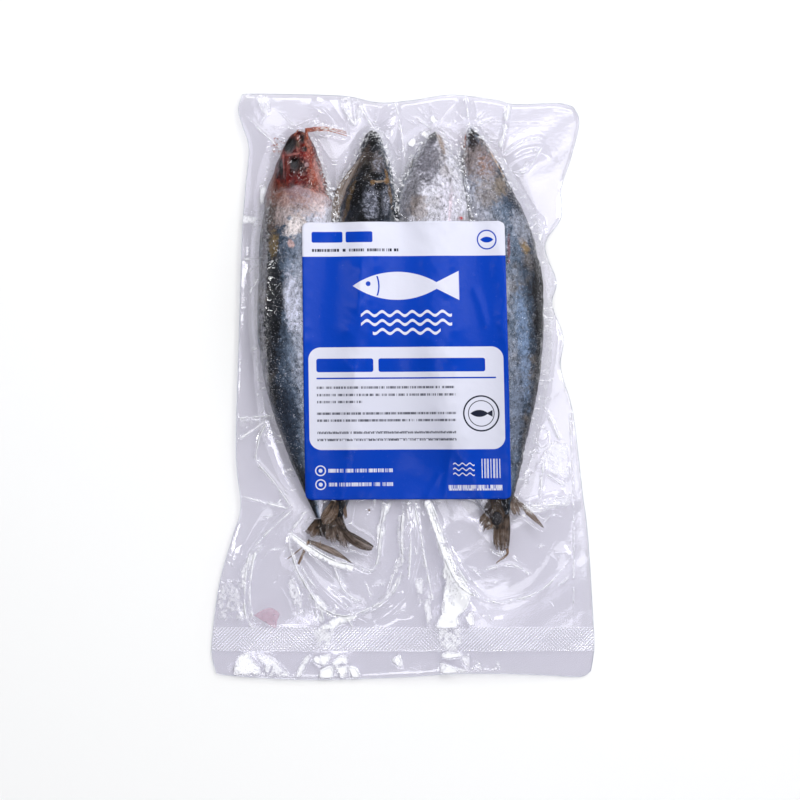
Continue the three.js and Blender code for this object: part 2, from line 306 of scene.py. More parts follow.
def make_piece(name, points, faces, finish, stands_for, attributes=()):
    """A mesh of the pack in the frame, riding on its one body, with its finish and named values."""
    mesh = bpy.data.meshes.new(name)
    mesh.from_pydata(((points - middle) / 1000).tolist(), [], [list(face) for face in faces])
    mesh.validate()
    for key, values in attributes:
        stored = mesh.attributes.new(key, "FLOAT", "POINT")
        stored.data.foreach_set("value", np.ravel(values).astype(np.float32))
    mesh.shade_smooth()
    mesh.materials.append(finish)
    made = bpy.data.objects.new(name, mesh)
    bpy.context.scene.collection.objects.link(made)
    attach(made, "root")
    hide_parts(stands_for)
    return made


class Wire:
    """A number or a colour on its way through a finish. Sums on it add Math nodes."""

    def __init__(self, finish, socket):
        self.finish, self.socket = finish, socket

    def sum(self, operation, *values):
        return self.finish.node("ShaderNodeMath", {"operation": operation}, dict(enumerate(values)))

    def __add__(self, other):
        return self.sum("ADD", self, other)

    def __sub__(self, other):
        return self.sum("SUBTRACT", self, other)

    def __rsub__(self, other):
        return self.sum("SUBTRACT", other, self)

    def __mul__(self, other):
        return self.sum("MULTIPLY", self, other)

    def __truediv__(self, other):
        return self.sum("DIVIDE", self, other)

    def __pow__(self, other):
        return self.sum("POWER", self, other)

    def least(self, other):
        return self.sum("MINIMUM", self, other)

    def most(self, other):
        return self.sum("MAXIMUM", self, other)

    def size(self):
        return self.sum("ABSOLUTE", self)

    def wave(self):
        return self.sum("SINE", self)

    def whole(self):
        return self.sum("ROUND", self)

    __radd__, __rmul__ = __add__, __mul__


def paint(red, green, blue):
    """A printed or photographed colour, 0 to 255 a channel, as the light it reflects."""
    share = [c / 255 for c in (red, green, blue)]
    return tuple(s / 12.92 if s < 0.04045 else ((s + 0.055) / 1.055) ** 2.4 for s in share) + (1.0,)


class Finish:
    """A surface's material, built node by node."""

    def __init__(self, name):
        self.material = bpy.data.materials.new(name)
        self.material.use_nodes = True
        self.tree = self.material.node_tree
        self.tree.nodes.clear()
        place = self.node("ShaderNodeTexCoord", output="Object")
        self.place = self.node("ShaderNodeVectorMath", {"operation": "SCALE"}, {0: place, "Scale": 1000})
        self.grains = {}

    def node(self, kind, settings=(), values=(), output=0):
        made = self.tree.nodes.new(kind)
        for name, value in dict(settings).items():
            if name == "stops":
                ramp = made.color_ramp
                for _ in value[2:]:
                    ramp.elements.new(0.5)
                for element, (position, colour) in zip(ramp.elements, value):
                    element.position, element.color = position, colour
            else:
                setattr(made, name, value)
        for socket, value in dict(values).items():
            if isinstance(value, Wire):
                self.tree.links.new(value.socket, made.inputs[socket])
            else:
                made.inputs[socket].default_value = value
        return Wire(self, made.outputs[output])

    def place_on(self, axis):
        """A point's place along one axis of the pack, in millimetres."""
        return self.node("ShaderNodeSeparateXYZ", {}, {0: self.place}, axis)

    def named(self, key):
        """A value stored on the mesh."""
        return self.node("ShaderNodeAttribute", {"attribute_name": key}, output="Fac")

    def noise(self, size, detail=3, rough=0.55, stretch=(1, 1, 1), twist=0.0):
        """Cloudy noise about size millimetres across, drawn out by stretch."""
        where = self.node("ShaderNodeVectorMath", {"operation": "DIVIDE"}, {0: self.place, 1: stretch})
        values = {"Vector": where, "Scale": 1 / size, "Detail": detail, "Roughness": rough,
                  "Distortion": twist}
        return self.node("ShaderNodeTexNoise", {}, values)

    def between(self, value, low, high):
        """0 at low and 1 at high, easing at both."""
        if low > high:
            return 1 - self.between(value, high, low)
        values = {"Value": value, "From Min": low, "From Max": high}
        return self.node("ShaderNodeMapRange", {"interpolation_type": "SMOOTHSTEP"}, values)

    def blend(self, share, first, second):
        """One colour over another by a share."""
        return self.node("ShaderNodeMix", {"data_type": "RGBA"}, {0: share, 6: first, 7: second}, 2)

    def lit(self, colour, light):
        """A colour made darker or lighter by a factor."""
        return self.node("ShaderNodeVectorMath", {"operation": "SCALE"}, {0: colour, "Scale": light})

    def ramp(self, value, *stops):
        """A colour for a value, from stops of a position and a colour."""
        return self.node("ShaderNodeValToRGB", {"stops": stops}, {0: value})

    def spot(self, x, y, half_x, half_y, turn=0, ragged=0.35, grain=2.5):
        """A soft blotch at a place on the pack, turned by degrees, ragged at its edge."""
        values = {"Vector": self.place, "Location": (x, y, 0), "Rotation": (0, 0, math.radians(turn)),
                  "Scale": (half_x, half_y, 1e4)}
        inside = self.node("ShaderNodeMapping", {"vector_type": "TEXTURE"}, values)
        far = self.node("ShaderNodeVectorMath", {"operation": "LENGTH"}, {0: inside}, "Value")
        if grain not in self.grains:
            self.grains[grain] = self.noise(grain, 4, 0.65) - 0.5
        far = far + self.grains[grain] * (3 * ragged)
        return self.between(far, 1.25, 0.6)

    def bump(self, height, depth, under=None):
        """A normal for a height in millimetres times depth."""
        values = {"Height": height, "Distance": depth / 1000, "Strength": 1}
        return self.node("ShaderNodeBump", {}, values | ({"Normal": under} if under else {}))

    def skin(self, values):
        """Ends the finish in one shader with these values, and gives the material."""
        return self.ended(self.node("ShaderNodeBsdfPrincipled", {}, values))

    def ended(self, shader):
        """Ends the finish in a shader, and gives the material."""
        output = self.tree.nodes.new("ShaderNodeOutputMaterial")
        self.tree.links.new(shader.socket, output.inputs["Surface"])
        return self.material


# Mackerel skin: near black along the back, steel blue below it, silver flanks and a white belly,
# grained by tiny scales and thawed frost. The tones run from the back to the belly. Each fish has its
# own stains and a few pale patches of painted highlight, laid one over the other: place, half sizes,
# turn, colour and strength.
SKIN_TONES = [
    (0.0, paint(30, 33, 36)),
    (0.12, paint(40, 46, 54)),
    (0.24, paint(62, 75, 90)),
    (0.36, paint(98, 112, 128)),
    (0.48, paint(142, 150, 162)),
    (0.6, paint(178, 182, 192)),
    (0.8, paint(212, 213, 220)),
    (1.0, paint(222, 222, 228)),
]
STAINS_AND_HIGHLIGHTS = [
    [
        # Pale silver along the top of the first fish: silver skin with a painted highlight on it.
        (-57.2, 44, 4.6, 15, 3, paint(206, 209, 222), 0.8),
        (-61, -24, 8, 26, -6, paint(42, 53, 68), 0.8),
        (-66.3, 42, 4.8, 26, 0, paint(18, 21, 26), 0.95),
        (-55.5, 84, 5, 7, -30, paint(232, 222, 214), 0.8),
        (-52, 93, 9, 6, 0, paint(176, 156, 146), 0.8),
        (-44, 95, 4, 8, 10, paint(222, 206, 200), 0.7),
        (-66.2, 90, 3.4, 13, -14, paint(88, 74, 66), 0.85),
        (-66.4, 74, 2.6, 7, -4, paint(112, 92, 52), 0.75),
        (-71, 90, 1.8, 15, -14, paint(110, 104, 104), 0.7),
        (-72.2, 58, 2.2, 26, -2, paint(140, 140, 148), 0.6),
        (-57.8, 73.8, 1.4, 2.6, 20, paint(212, 176, 166), 0.7),
        (-71.5, 5, 1.9, 34, 3, paint(150, 150, 158), 0.6),
        (-61.5, 91, 4.6, 9, -14, paint(166, 152, 146), 0.8),
        (-47.8, -61.5, 2.7, 9, 12, paint(20, 23, 27), 0.97),
    ],
    [
        (-24.2, 101, 4.2, 8, -12, paint(8, 9, 10), 0.97),
        (-17, 95, 3.8, 8, 0, paint(122, 127, 140), 0.75),
        (-12.2, 103.2, 2.7, 2.3, 0, paint(6, 6, 6), 0.97),
        (-11.4, 95.6, 1.9, 3.6, 6, paint(14, 14, 15), 0.97),
        (-13.4, 116.5, 3.8, 6.4, 0, paint(128, 119, 115), 0.85),
        (-19.2, 112.5, 3, 3.2, 0, paint(22, 23, 24), 0.9),
        (-14, 109.4, 3.6, 1.6, 0, paint(14, 14, 14), 0.95),
        (-18, 120, 2.6, 4, 30, paint(70, 58, 50), 0.8),
        (-16, 128.5, 5, 6, 10, paint(20, 20, 20), 0.95),
        (-12.4, 106, 3.2, 0.8, 2, paint(206, 184, 156), 0.9),
        (-15.6, 105.2, 1.3, 1.5, 0, paint(176, 136, 84), 0.9),
        (-8.2, 106.4, 1.6, 1.8, 0, paint(196, 148, 78), 0.95),
        (-8.6, 110.4, 0.8, 2.8, 20, paint(184, 140, 78), 0.8),
        (-6.6, 99, 0.9, 6, 8, paint(170, 140, 100), 0.7),
        (-28.3, 95, 1.2, 15, -16, paint(128, 106, 74), 0.75),
        (-21, 118, 1.4, 8, -26, paint(116, 100, 88), 0.8),
        (-9.4, 95, 2.2, 7, 6, paint(150, 154, 164), 0.45),
    ],
    [
        (24.3, 93, 1.0, 9, -4, paint(214, 108, 88), 0.7),
        (29.6, 87, 1.6, 1.0, 0, paint(196, 36, 28), 0.95),
        (15.3, 130, 2.6, 4.4, -10, paint(28, 28, 30), 0.95),
        (19.8, 126.5, 1.5, 7, 16, paint(150, 126, 98), 0.8),
        (24, 108, 0.8, 13, 17, paint(126, 118, 114), 0.7),
        (5, 100, 4.4, 18, -12, paint(96, 95, 98), 0.75),
        (13.4, 117, 7, 12, 0, paint(112, 111, 118), 0.85),
        (24, 95, 5.5, 14, 6, paint(232, 230, 238), 0.8),
        (8, 92, 5, 7, 0, paint(156, 140, 124), 0.5),
        (45.2, -60, 2.6, 7, -14, paint(46, 38, 34), 0.95),
        (46.4, -66, 2.6, 5, 0, paint(42, 34, 31), 0.96),
        (49.4, -61, 1.3, 7, -6, paint(104, 112, 124), 0.85),
    ],
    [
        (38, 118, 9, 12, 10, paint(124, 108, 98), 0.8),
        (43, 113, 4.6, 8, 14, paint(146, 114, 96), 0.75),
        (36, 128, 3.2, 5, 10, paint(28, 22, 20), 0.95),
        (46, 103, 8, 9, 0, paint(140, 134, 130), 0.7),
        (49.5, 118.2, 0.6, 9.5, 28, paint(232, 190, 110), 0.95),
        (47.8, 117.4, 0.5, 8.5, 28, paint(196, 160, 116), 0.7),
        (62.6, 73, 2.0, 5.4, 24, paint(156, 124, 58), 0.55),
        (31.6, 127.5, 1.0, 5, -8, paint(168, 92, 62), 0.9),
        (50, 104, 4, 5, 0, paint(122, 108, 84), 0.6),
        (60.6, 82, 4.6, 9, 22, paint(160, 166, 176), 0.7),
        (54.4, 71, 0.8, 8, 0, paint(128, 58, 46), 0.5),
        (38, 131.6, 3.4, 1.2, -30, paint(20, 17, 16), 0.95),
        (43, 100, 5, 8, 0, paint(150, 144, 140), 0.6),
        # A paler blue stripe right of the middle of the last fish's side: a painted highlight streak.
        (62, 22, 3.2, 30, 4, paint(116, 138, 166), 0.7),
        (70.4, 44, 3.6, 25, 3, paint(16, 17, 18), 0.97),
        (71.4, 12, 3.0, 21, 0, paint(22, 24, 27), 0.93),
        # The lower end of that stripe: painted highlight.
        (58, -14, 4, 26, -4, paint(120, 130, 146), 0.6),
        (53.2, -60.5, 2.4, 8, 0, paint(18, 18, 20), 0.97),
    ],
]
# How quickly each fish's tones run down its side, and how pale or dark it is beside the plain tones.
SPREADS = [1.55, 0.8, 1.25, 0.95]
SHADES = [0.95, 0.44, 0.84, 0.95]
# Where rime lies in pale mottles on each fish: place and half sizes.
RIME = [
    [(-50, 94, 9, 8)],
    [(-16.4, 94, 4.4, 9), (-8.6, 97, 1.8, 8), (-12.6, 116, 3, 5.4)],
    [],
    [(42, 112, 6, 12)],
]


def mackerel_skin(number):
    """The skin of one fish."""
    skin = Finish(f"mackerel_skin_{number + 1}")
    blotch = skin.noise(9, 4, 0.6, (1, 2.2, 1))
    grain = skin.noise(1.5, 5, 0.85, (1, 1.6, 1))
    patches = skin.noise(3.6, 5, 0.75, (1, 1.5, 1), 0.8)
    down = skin.named("from_back") * SPREADS[number] + (blotch - 0.5) * 0.34 + (patches - 0.5) * 0.3
    colour = skin.ramp(down, *SKIN_TONES)
    tan = skin.between(skin.noise(14, 3, 0.6), 0.5, 0.72) * 0.35
    colour = skin.blend(tan, colour, paint(150, 138, 122))
    light = 0.3 + skin.between(grain, 0.34, 0.66) * 0.85 + skin.between(patches, 0.34, 0.66) * 0.55
    for x, y, half_x, half_y, turn, mark_tone, strength in STAINS_AND_HIGHLIGHTS[number]:
        colour = skin.blend(skin.spot(x, y, half_x, half_y, turn, 0.75, 2.2) * strength, colour, mark_tone)
    colour = skin.lit(colour, light * SHADES[number])
    frost = skin.between(skin.noise(0.9, 3, 0.7), 0.58, 0.68) * skin.between(blotch, 0.3, 0.6) * 0.55
    colour = skin.blend(frost, colour, paint(228, 230, 238))
    for x, y, half_x, half_y in RIME[number]:
        mottles = skin.between(skin.noise(1.7, 4, 0.8), 0.46, 0.6) * skin.spot(x, y, half_x, half_y) * 0.6
        colour = skin.blend(mottles, colour, paint(176, 180, 192))
    pits = skin.between(skin.noise(1.3, 3, 0.7, (1, 1.4, 1)), 0.4, 0.32) * 0.7
    colour = skin.blend(pits, colour, paint(34, 33, 34))
    rough = 0.3 + patches * 0.2
    if number == 0:
        colour, rough = bare_flesh(skin, colour, rough)
    normal = skin.bump(patches, 0.45, skin.bump(grain, 0.4))
    return skin.skin({"Base Color": colour, "Roughness": rough, "Specular IOR Level": 0.16, "Normal": normal})


# The flayed head's colours, each a blotch of flesh, bone or painted shadow, set out as the stains are.
HEAD_BLOTCHES = [
    (-50.5, 121, 3.0, 6.6, -20, paint(118, 8, 4), 0.92),
    (-47.4, 117, 2.2, 11, 18, paint(158, 62, 42), 0.75),
    (-45.2, 107, 3.6, 8, 10, paint(172, 96, 76), 0.6),
    (-43.6, 110, 1.6, 9, 16, paint(190, 152, 146), 0.6),
    (-49.4, 126.5, 1.6, 5, 18, paint(164, 98, 80), 0.85),
    (-54.6, 108, 6.5, 3.6, 0, paint(98, 8, 5), 0.88),
    (-55.5, 114.8, 6, 4.6, 0, paint(34, 13, 12), 0.9),
    (-64, 102.6, 4, 3.4, 20, paint(108, 50, 32), 0.75),
    (-59.4, 114, 1.1, 4.6, 0, paint(124, 54, 44), 0.85),
    (-61.8, 115, 0.5, 7, 2, paint(170, 104, 98), 0.85),
    (-63.8, 113.4, 0.9, 7, 4, paint(42, 16, 16), 0.9),
    (-65.6, 114, 1.0, 6, 8, paint(96, 84, 90), 0.7),
    (-57.2, 120.4, 3.6, 0.7, 8, paint(168, 108, 100), 0.85),
    (-54.6, 122.8, 0.7, 2.2, 24, paint(150, 92, 82), 0.8),
    (-54.8, 129.4, 1.5, 1.5, 0, paint(170, 112, 100), 0.85),
    (-54.6, 126, 1.2, 2.2, 24, paint(84, 68, 50), 0.85),
    # A small pale star on the wet flesh: a painted glint.
    (-49.8, 114.8, 1.2, 1.2, 40, paint(214, 180, 178), 0.6),
    (-50.8, 131.6, 1.6, 1.2, 0, paint(214, 140, 116), 0.8),
]


def bare_flesh(skin, colour, rough):
    """Open muscle, dark red in the middle and orange red to the right, streaked with pale threads."""
    bare = skin.named("bare")
    streak = skin.noise(1.5, 5, 0.7, (1, 3.4, 1), 1.2)
    clots = skin.noise(5, 4, 0.6)
    flesh = skin.ramp(streak + (clots - 0.5) * 0.7, (0.28, paint(40, 12, 11)), (0.45, paint(84, 20, 16)),
                      (0.6, paint(112, 34, 26)), (0.78, paint(156, 80, 62)))
    for x, y, half_x, half_y, turn, tone, strength in HEAD_BLOTCHES:
        flesh = skin.blend(skin.spot(x, y, half_x, half_y, turn, 0.55, 1.3) * strength, flesh, tone)
    # Each hollow is also painted near black: painted shade in the hollows.
    for x, y, half_x, half_y, turn, _ in HOLLOWS:
        flesh = skin.blend(skin.spot(x, y, half_x, half_y, turn, 0.2, 1.3) * 0.97, flesh, paint(12, 10, 9))
    # Pale flecks toward the right of the open head: pale tissue with painted film glints.
    fleck_and_glint = skin.between(skin.noise(1.3, 4, 0.75), 0.52, 0.62)
    fleck_and_glint = fleck_and_glint * skin.between(skin.place_on("X"), -58, -46) * 0.75
    flesh = skin.blend(fleck_and_glint, flesh, paint(226, 176, 158))
    flesh = skin.lit(flesh, skin.between(streak, 0.3, 0.7) * 0.8 + 0.4)
    rimmed = skin.between(bare, 0.0, 0.35) * skin.between(bare, 1.0, 0.5)
    rimmed = rimmed * skin.between(skin.place_on("X"), -57, -53)
    colour = skin.blend(bare, colour, flesh)
    colour = skin.blend(rimmed * skin.between(clots, 0.35, 0.6) * 0.65, colour, paint(206, 140, 118))
    bleeding = skin.between(skin.place_on("Y") + (clots - 0.5) * 16, 90, 101) * (1 - bare) * 0.5
    colour = skin.blend(bleeding, colour, paint(164, 104, 84))
    return colour, rough * (1 - bare * 0.1)


for number in range(len(FISH)):
    points, turn = fish_body(number)
    faces = as_quads(RINGS, RING_POINTS, True)
    flat = points.reshape(-1, 3)
    snout_end, root_end = range(RING_POINTS), range((RINGS - 1) * RING_POINTS, RINGS * RING_POINTS)
    bare = flayed_head(points)[1] if number == 0 else 0 * turn
    values = [("from_back", turn), ("bare", bare)]
    closed = [*faces.tolist(), snout_end[::-1], root_end]
    make_piece(f"fish_{number + 1}", flat, closed, mackerel_skin(number), "pouch", values)
    solids.append((flat, faces))

# The fins: thin brown web on bony rays, split and frayed by the freezer and pressed flat by the film.
# Each lobe is one thin closed leaf between its first and last edge, root to tip. The last but one is
# dark tissue round the third fish's tail, and the last is a flap of gill skin between two heads.
LOBES = [
    dict(first=[(-45.8, -68.5), (-51, -75)], last=[(-43.2, -68.4), (-43.4, -77.6)],
         rays=12, fray=0.2, swell=0.25, z=5.6, shade=0.4, ochre=0.3),
    dict(first=[(-44.6, -69), (-43.8, -77.8)], last=[(-42, -68), (-36.5, -77)],
         rays=12, fray=0.25, swell=0.15, z=5.2, shade=0.1, ochre=0.1),
    dict(first=[(-36.8, -58.5), (-41.5, -64.6), (-43.2, -68.8)],
         last=[(-33.4, -58.5), (-34, -66.5), (-38.4, -71.6)],
         rays=10, fray=0.15, swell=0.1, z=6.9, shade=0.45, ochre=0.35),
    dict(first=[(-39.5, -68.6), (-40.2, -74), (-40.2, -80.2)],
         last=[(-33.6, -67), (-29.6, -75), (-26.3, -85)],
         rays=21, fray=0.24, swell=0.0, z=6.0, shade=0.5, ochre=0.12),
    dict(first=[(-36.5, -69), (-31.5, -75.8), (-28.2, -80.4), (-23.2, -83.8), (-17, -85.4)],
         last=[(-31.5, -66.5), (-28.9, -73.6), (-24.2, -76.6), (-18.9, -79.8), (-14.6, -83)],
         rays=12, fray=0.06, swell=0.03, z=6.4, shade=0.46, ochre=0.1),
    dict(first=[(-31.5, -59), (-31, -64), (-30.2, -69)],
         last=[(-29.8, -59), (-29.2, -64), (-28.8, -68.4)],
         rays=5, fray=0.2, swell=0.0, z=6.6, shade=0.6, ochre=0.5),
    dict(first=[(-49.2, -80.8), (-38, -86.4), (-26.9, -91.2)],
         last=[(-49.2, -78.8), (-36, -83.6), (-26.5, -90.8)],
         rays=7, fray=0.0, swell=0.0, z=4.9, shade=0.62, ochre=0.25),
    dict(first=[(43, -64), (37.4, -70.5)], last=[(46.8, -69), (43.4, -74.5)],
         rays=16, fray=0.42, swell=0.05, z=5.3, shade=0.6, ochre=0.3),
    dict(first=[(44.2, -65), (40, -77)], last=[(49.6, -71.8), (44.4, -74.8)],
         rays=10, fray=0.45, swell=0.1, z=5.1, shade=0.45, ochre=0.35),
    dict(first=[(48.5, -67), (46.6, -76), (47.4, -84)], last=[(55.2, -65.5), (55.7, -75), (55.2, -84.2)],
         rays=25, fray=0.2, swell=0.1, z=5.6, shade=0.5, ochre=0.25),
    dict(first=[(55.6, -57), (55.8, -63.5), (57, -68)], last=[(56.6, -55.3), (63, -62), (67.6, -69.4)],
         rays=19, fray=0.45, swell=0.0, z=6.3, shade=0.6, ochre=0.3),
    dict(first=[(59.6, -59.6), (64.6, -66.4), (73, -73.4)],
         last=[(61.4, -59.4), (68.6, -66.6), (73.6, -73.8)],
         rays=5, fray=0.15, swell=0.0, z=6.5, shade=0.62, ochre=0.45),
    dict(first=[(43, -57), (44, -65.5), (46.8, -71.6)], last=[(55, -57), (54.2, -65), (51, -71.8)],
         rays=9, fray=0.1, swell=0.1, z=5.7, shade=0.16, ochre=0.15),
    dict(first=[(-21.6, 119.4), (-29, 110.4), (-34.8, 101.4), (-38, 86)],
         last=[(-20.4, 120.4), (-26.4, 106.7), (-29.5, 97), (-32, 86)],
         rays=10, fray=0.05, swell=0.0, z=13.6, shade=0.78, ochre=0.25),
]
LOBE_STEPS = 36
RAY_CELLS = 5
LOBE_THICK = 0.36


def leaf(plan, height, thick):
    """A thin closed leaf over a grid of places, its upper side first, from its height and thickness."""
    rows, columns = plan.shape[:2]
    upper = np.dstack([plan, height + thick / 2]).reshape(-1, 3)
    lower = np.dstack([plan, height - thick / 2]).reshape(-1, 3)
    faces = as_quads(rows, columns, False)
    count = rows * columns
    end = (rows - 1) * columns
    border = np.concatenate([np.arange(columns - 1), np.arange(rows - 1) * columns + columns - 1,
                             end + np.arange(columns - 1, 0, -1), np.arange(rows - 1, 0, -1) * columns])
    after = np.roll(border, -1)
    walls = np.stack([border + count, after + count, after, border], 1)
    every = np.concatenate([faces, faces[:, ::-1] + count, walls])
    wide, tall = plan[0, -1] - plan[0, 0], plan[-1, 0] - plan[0, 0]
    facing_up = wide[0] * tall[1] > wide[1] * tall[0]
    return np.concatenate([upper, lower]), every if facing_up else every[:, ::-1]


def fin_lobe(number):
    """One lobe, and how far along and across it each point is."""
    lobe = LOBES[number]
    draw = np.random.default_rng(70 + number)
    first, last = (curve_through(lobe[edge], 200) for edge in ("first", "last"))
    across = np.linspace(0, 1, lobe["rays"] * RAY_CELLS + 1)
    ray = np.minimum((across * lobe["rays"]).astype(int), lobe["rays"] - 1)
    beside = np.abs(across * lobe["rays"] - ray - 0.5) * 2
    tufts = draw.uniform(0, 1, lobe["rays"])
    short = tufts[ray // 3] * 0.65 + tufts[ray] * 0.25 + 0.1 * beside
    reach = 1 - lobe["fray"] * short + lobe["swell"] * 4 * across * (1 - across)
    share = np.linspace(0, 1, LOBE_STEPS)[:, None]
    along = share * np.minimum(reach, 1)[None]
    plan = along_curve(first, along) * (1 - across)[:, None] + along_curve(last, along) * across[:, None]
    tip = plan[-1] - plan[-4]
    plan = plan + tip * (np.maximum(reach - 1, 0)[None] * share**2)[..., None] * LOBE_STEPS / 3
    stray = draw.normal(0, 0.28, lobe["rays"])[ray] * share**2
    plan = plan + stray[..., None] * (0.6, 0.5)
    ridge = 0.12 * np.cos(math.pi * beside) + 0.3 * np.sin(5 * share + number) * share
    height = lobe["z"] + ridge + 0 * share
    points, faces = leaf(plan, height, LOBE_THICK + 0 * height)
    far, on_ray = share + 0 * across, 0 * share + across * lobe["rays"]
    return points, faces, np.tile(far.ravel(), 2), np.tile(on_ray.ravel(), 2)


def fin_finish():
    """Brown, half clear web between darker rays, ragged to the tips. More shade makes it paler."""
    fin = Finish("fin_web")
    far, ray, shade, ochre = (fin.named(key) for key in ("far", "ray", "shade", "ochre"))
    on_ray = fin.node("ShaderNodeCombineXYZ", {}, {0: ray, 1: far * 1.6, 2: shade * 40})
    values = {"Vector": on_ray, "Scale": 0.5, "Detail": 4, "Roughness": 0.8}
    streak = fin.node("ShaderNodeTexNoise", {}, values)
    tone = fin.noise(3, 4, 0.7)
    depth = shade + (tone - 0.5) * 0.9 + (streak - 0.5) * 2.2 + (far - 0.6) * 0.3
    colour = fin.ramp(depth, (0.15, paint(24, 21, 20)), (0.38, paint(74, 63, 55)),
                      (0.6, paint(126, 113, 103)), (0.82, paint(190, 178, 168)))
    ochre = ochre * fin.between(tone + far * 0.2, 0.42, 0.62) * 0.9
    colour = fin.blend(ochre.least(0.6), colour, paint(142, 110, 76))
    rays = (ray * (2 * math.pi)).wave()
    rib = fin.between(rays + (tone - 0.5) * 2, 0.3, 1.0) * 0.55
    colour = fin.blend(rib, colour, paint(42, 34, 30))
    split = fin.between(far + (streak - 0.5) * 1.5, 0.74, 0.98) * (fin.named("fray") * 2.2).least(0.95)
    solid = 1 - far * 0.2 - split
    return fin.skin({"Base Color": colour, "Roughness": 0.42, "Specular IOR Level": 0.35,
                     "Alpha": solid.most(0), "Normal": fin.bump(streak + rays * 0.3, 0.3)})


lobes = [fin_lobe(number) for number in range(len(LOBES))]
lobe_points, lobe_faces, lobe_of = gather([lobe[:2] for lobe in lobes])
lobe_values = [("far", np.concatenate([lobe[2] for lobe in lobes])),
               ("ray", np.concatenate([lobe[3] for lobe in lobes]))]
for key in ("shade", "ochre", "fray"):
    lobe_values.append((key, np.array([lobe[key] for lobe in LOBES])[lobe_of]))
make_piece("fins", lobe_points, lobe_faces.tolist(), fin_finish(), "pouch", lobe_values)
solids.append((lobe_points, lobe_faces))

# Loose rays and threads: two broken spines and a curled one at the tails, and the string of blood that
# runs off the first fish's snout. Each is one thin round thread, thinner to its end.
THREADS = [
    dict(places=[(-48.9, -79.8, 5.2), (-51.6, -85.6, 4.7), (-54.2, -91.8, 4.4)], wide=(1.6, 1.15)),
    dict(places=[(-50.6, -81.6, 5.0), (-55.5, -85.8, 4.6), (-60, -89.2, 4.4)], wide=(0.75, 0.4)),
    dict(places=[(53.9, -83.6, 5.2), (54.2, -86.2, 5.0), (52.5, -88.2, 4.8), (50.4, -89.7, 4.6),
      (48.3, -91.4, 4.4)], wide=(1.7, 0.4)),
    dict(places=[(-42.8, -80, 5.5), (-43, -81.6, 5.4), (-43, -83.4, 5.2)], wide=(0.5, 0.4)),
    dict(places=[(-17.9, -63.6, 6.0), (-17.5, -63.8, 6.1), (-17.1, -63.9, 6.0)], wide=(1.0, 0.7)),
    dict(places=[(46.6, -71.4, 5.4), (45.4, -72.8, 5.2), (43.4, -73.9, 5.0)], wide=(1.9, 0.5)),
    dict(places=[(-38.7, 100.9, 9.6), (-34.4, 101.8, 10.4), (-31.8, 104.6, 11), (-28.8, 110.6, 11.4),
      (-23.6, 116.4, 10.6), (-21.4, 119.6, 9.4)], wide=(0.4, 0.6)),
]
THREAD_SIDES = 8


def thread(places, wide, steps=40):
    """A round thread through places, from one width to the other."""
    path = curve_through(places, steps)
    ahead = np.gradient(path, axis=0)
    aside = np.cross(ahead, [0, 0, 1.0])
    aside /= np.linalg.norm(aside, axis=1, keepdims=True)
    over = np.cross(aside, ahead)
    over /= np.linalg.norm(over, axis=1, keepdims=True)
    angle = np.linspace(0, 2 * math.pi, THREAD_SIDES, endpoint=False)[:, None]
    radius = np.linspace(wide[0] / 2, wide[1] / 2, steps + 1)[:, None, None]
    rings = path[:, None] + radius * (np.cos(angle) * aside[:, None] + np.sin(angle) * over[:, None])
    return rings.reshape(-1, 3), as_quads(steps + 1, THREAD_SIDES, True)


def mottled_finish(name, grain, dark, light, rough, depth, alpha=1.0):
    """A small piece's finish, mottled between two tones by one noise that dimples it as deep as depth."""
    finish = Finish(name)
    tone = finish.noise(*grain)
    return finish.skin({"Base Color": finish.ramp(tone, dark, light), "Roughness": rough, "Alpha": alpha,
                        "Normal": finish.bump(tone, depth)})


spine_look = mottled_finish("broken_spine", (1.2, 3), (0.3, paint(92, 70, 52)), (0.7, paint(150, 124, 98)),
                            0.4, 0.2)
thread_points, thread_faces, _ = gather([thread(t["places"], t["wide"]) for t in THREADS])
make_piece("broken_spines", thread_points, thread_faces.tolist(), spine_look, "pouch")
solids.append((thread_points, thread_faces))

# The third fish has lost part of its tail: its bare root shows as a dark, wet knob between the fins.
# It is muscle round the end of the backbone, made as one lumpy oval that lies under the film.
STUB_PLACE = (48.7, -68.2, 6.2)
STUB_HALF = (2.7, 3.5, 1.7)
STUB_RINGS = 18
STUB_SIDES = 28
stub_turn = np.linspace(0, 2 * math.pi, STUB_SIDES, endpoint=False)[None]
stub_fall = np.linspace(0.04, math.pi - 0.04, STUB_RINGS)[:, None]
stub_points = np.stack([np.sin(stub_fall) * np.cos(stub_turn), np.sin(stub_fall) * np.sin(stub_turn),
                        np.cos(stub_fall) + 0 * stub_turn], -1)
stub_points = stub_points * (1 + 0.12 * lumps(stub_points, 1.1, 4))[..., None] * STUB_HALF + STUB_PLACE
stub_points = stub_points.reshape(-1, 3)
stub_look = mottled_finish("tail_stub", (1.4, 4, 0.7), (0.35, paint(12, 12, 13)), (0.75, paint(48, 46, 48)),
                           0.22, 0.4)
stub_faces = as_quads(STUB_RINGS, STUB_SIDES, True)[:, ::-1]
make_piece("tail_stub", stub_points, stub_faces.tolist(), stub_look, "pouch")
solids.append((stub_points, stub_faces))

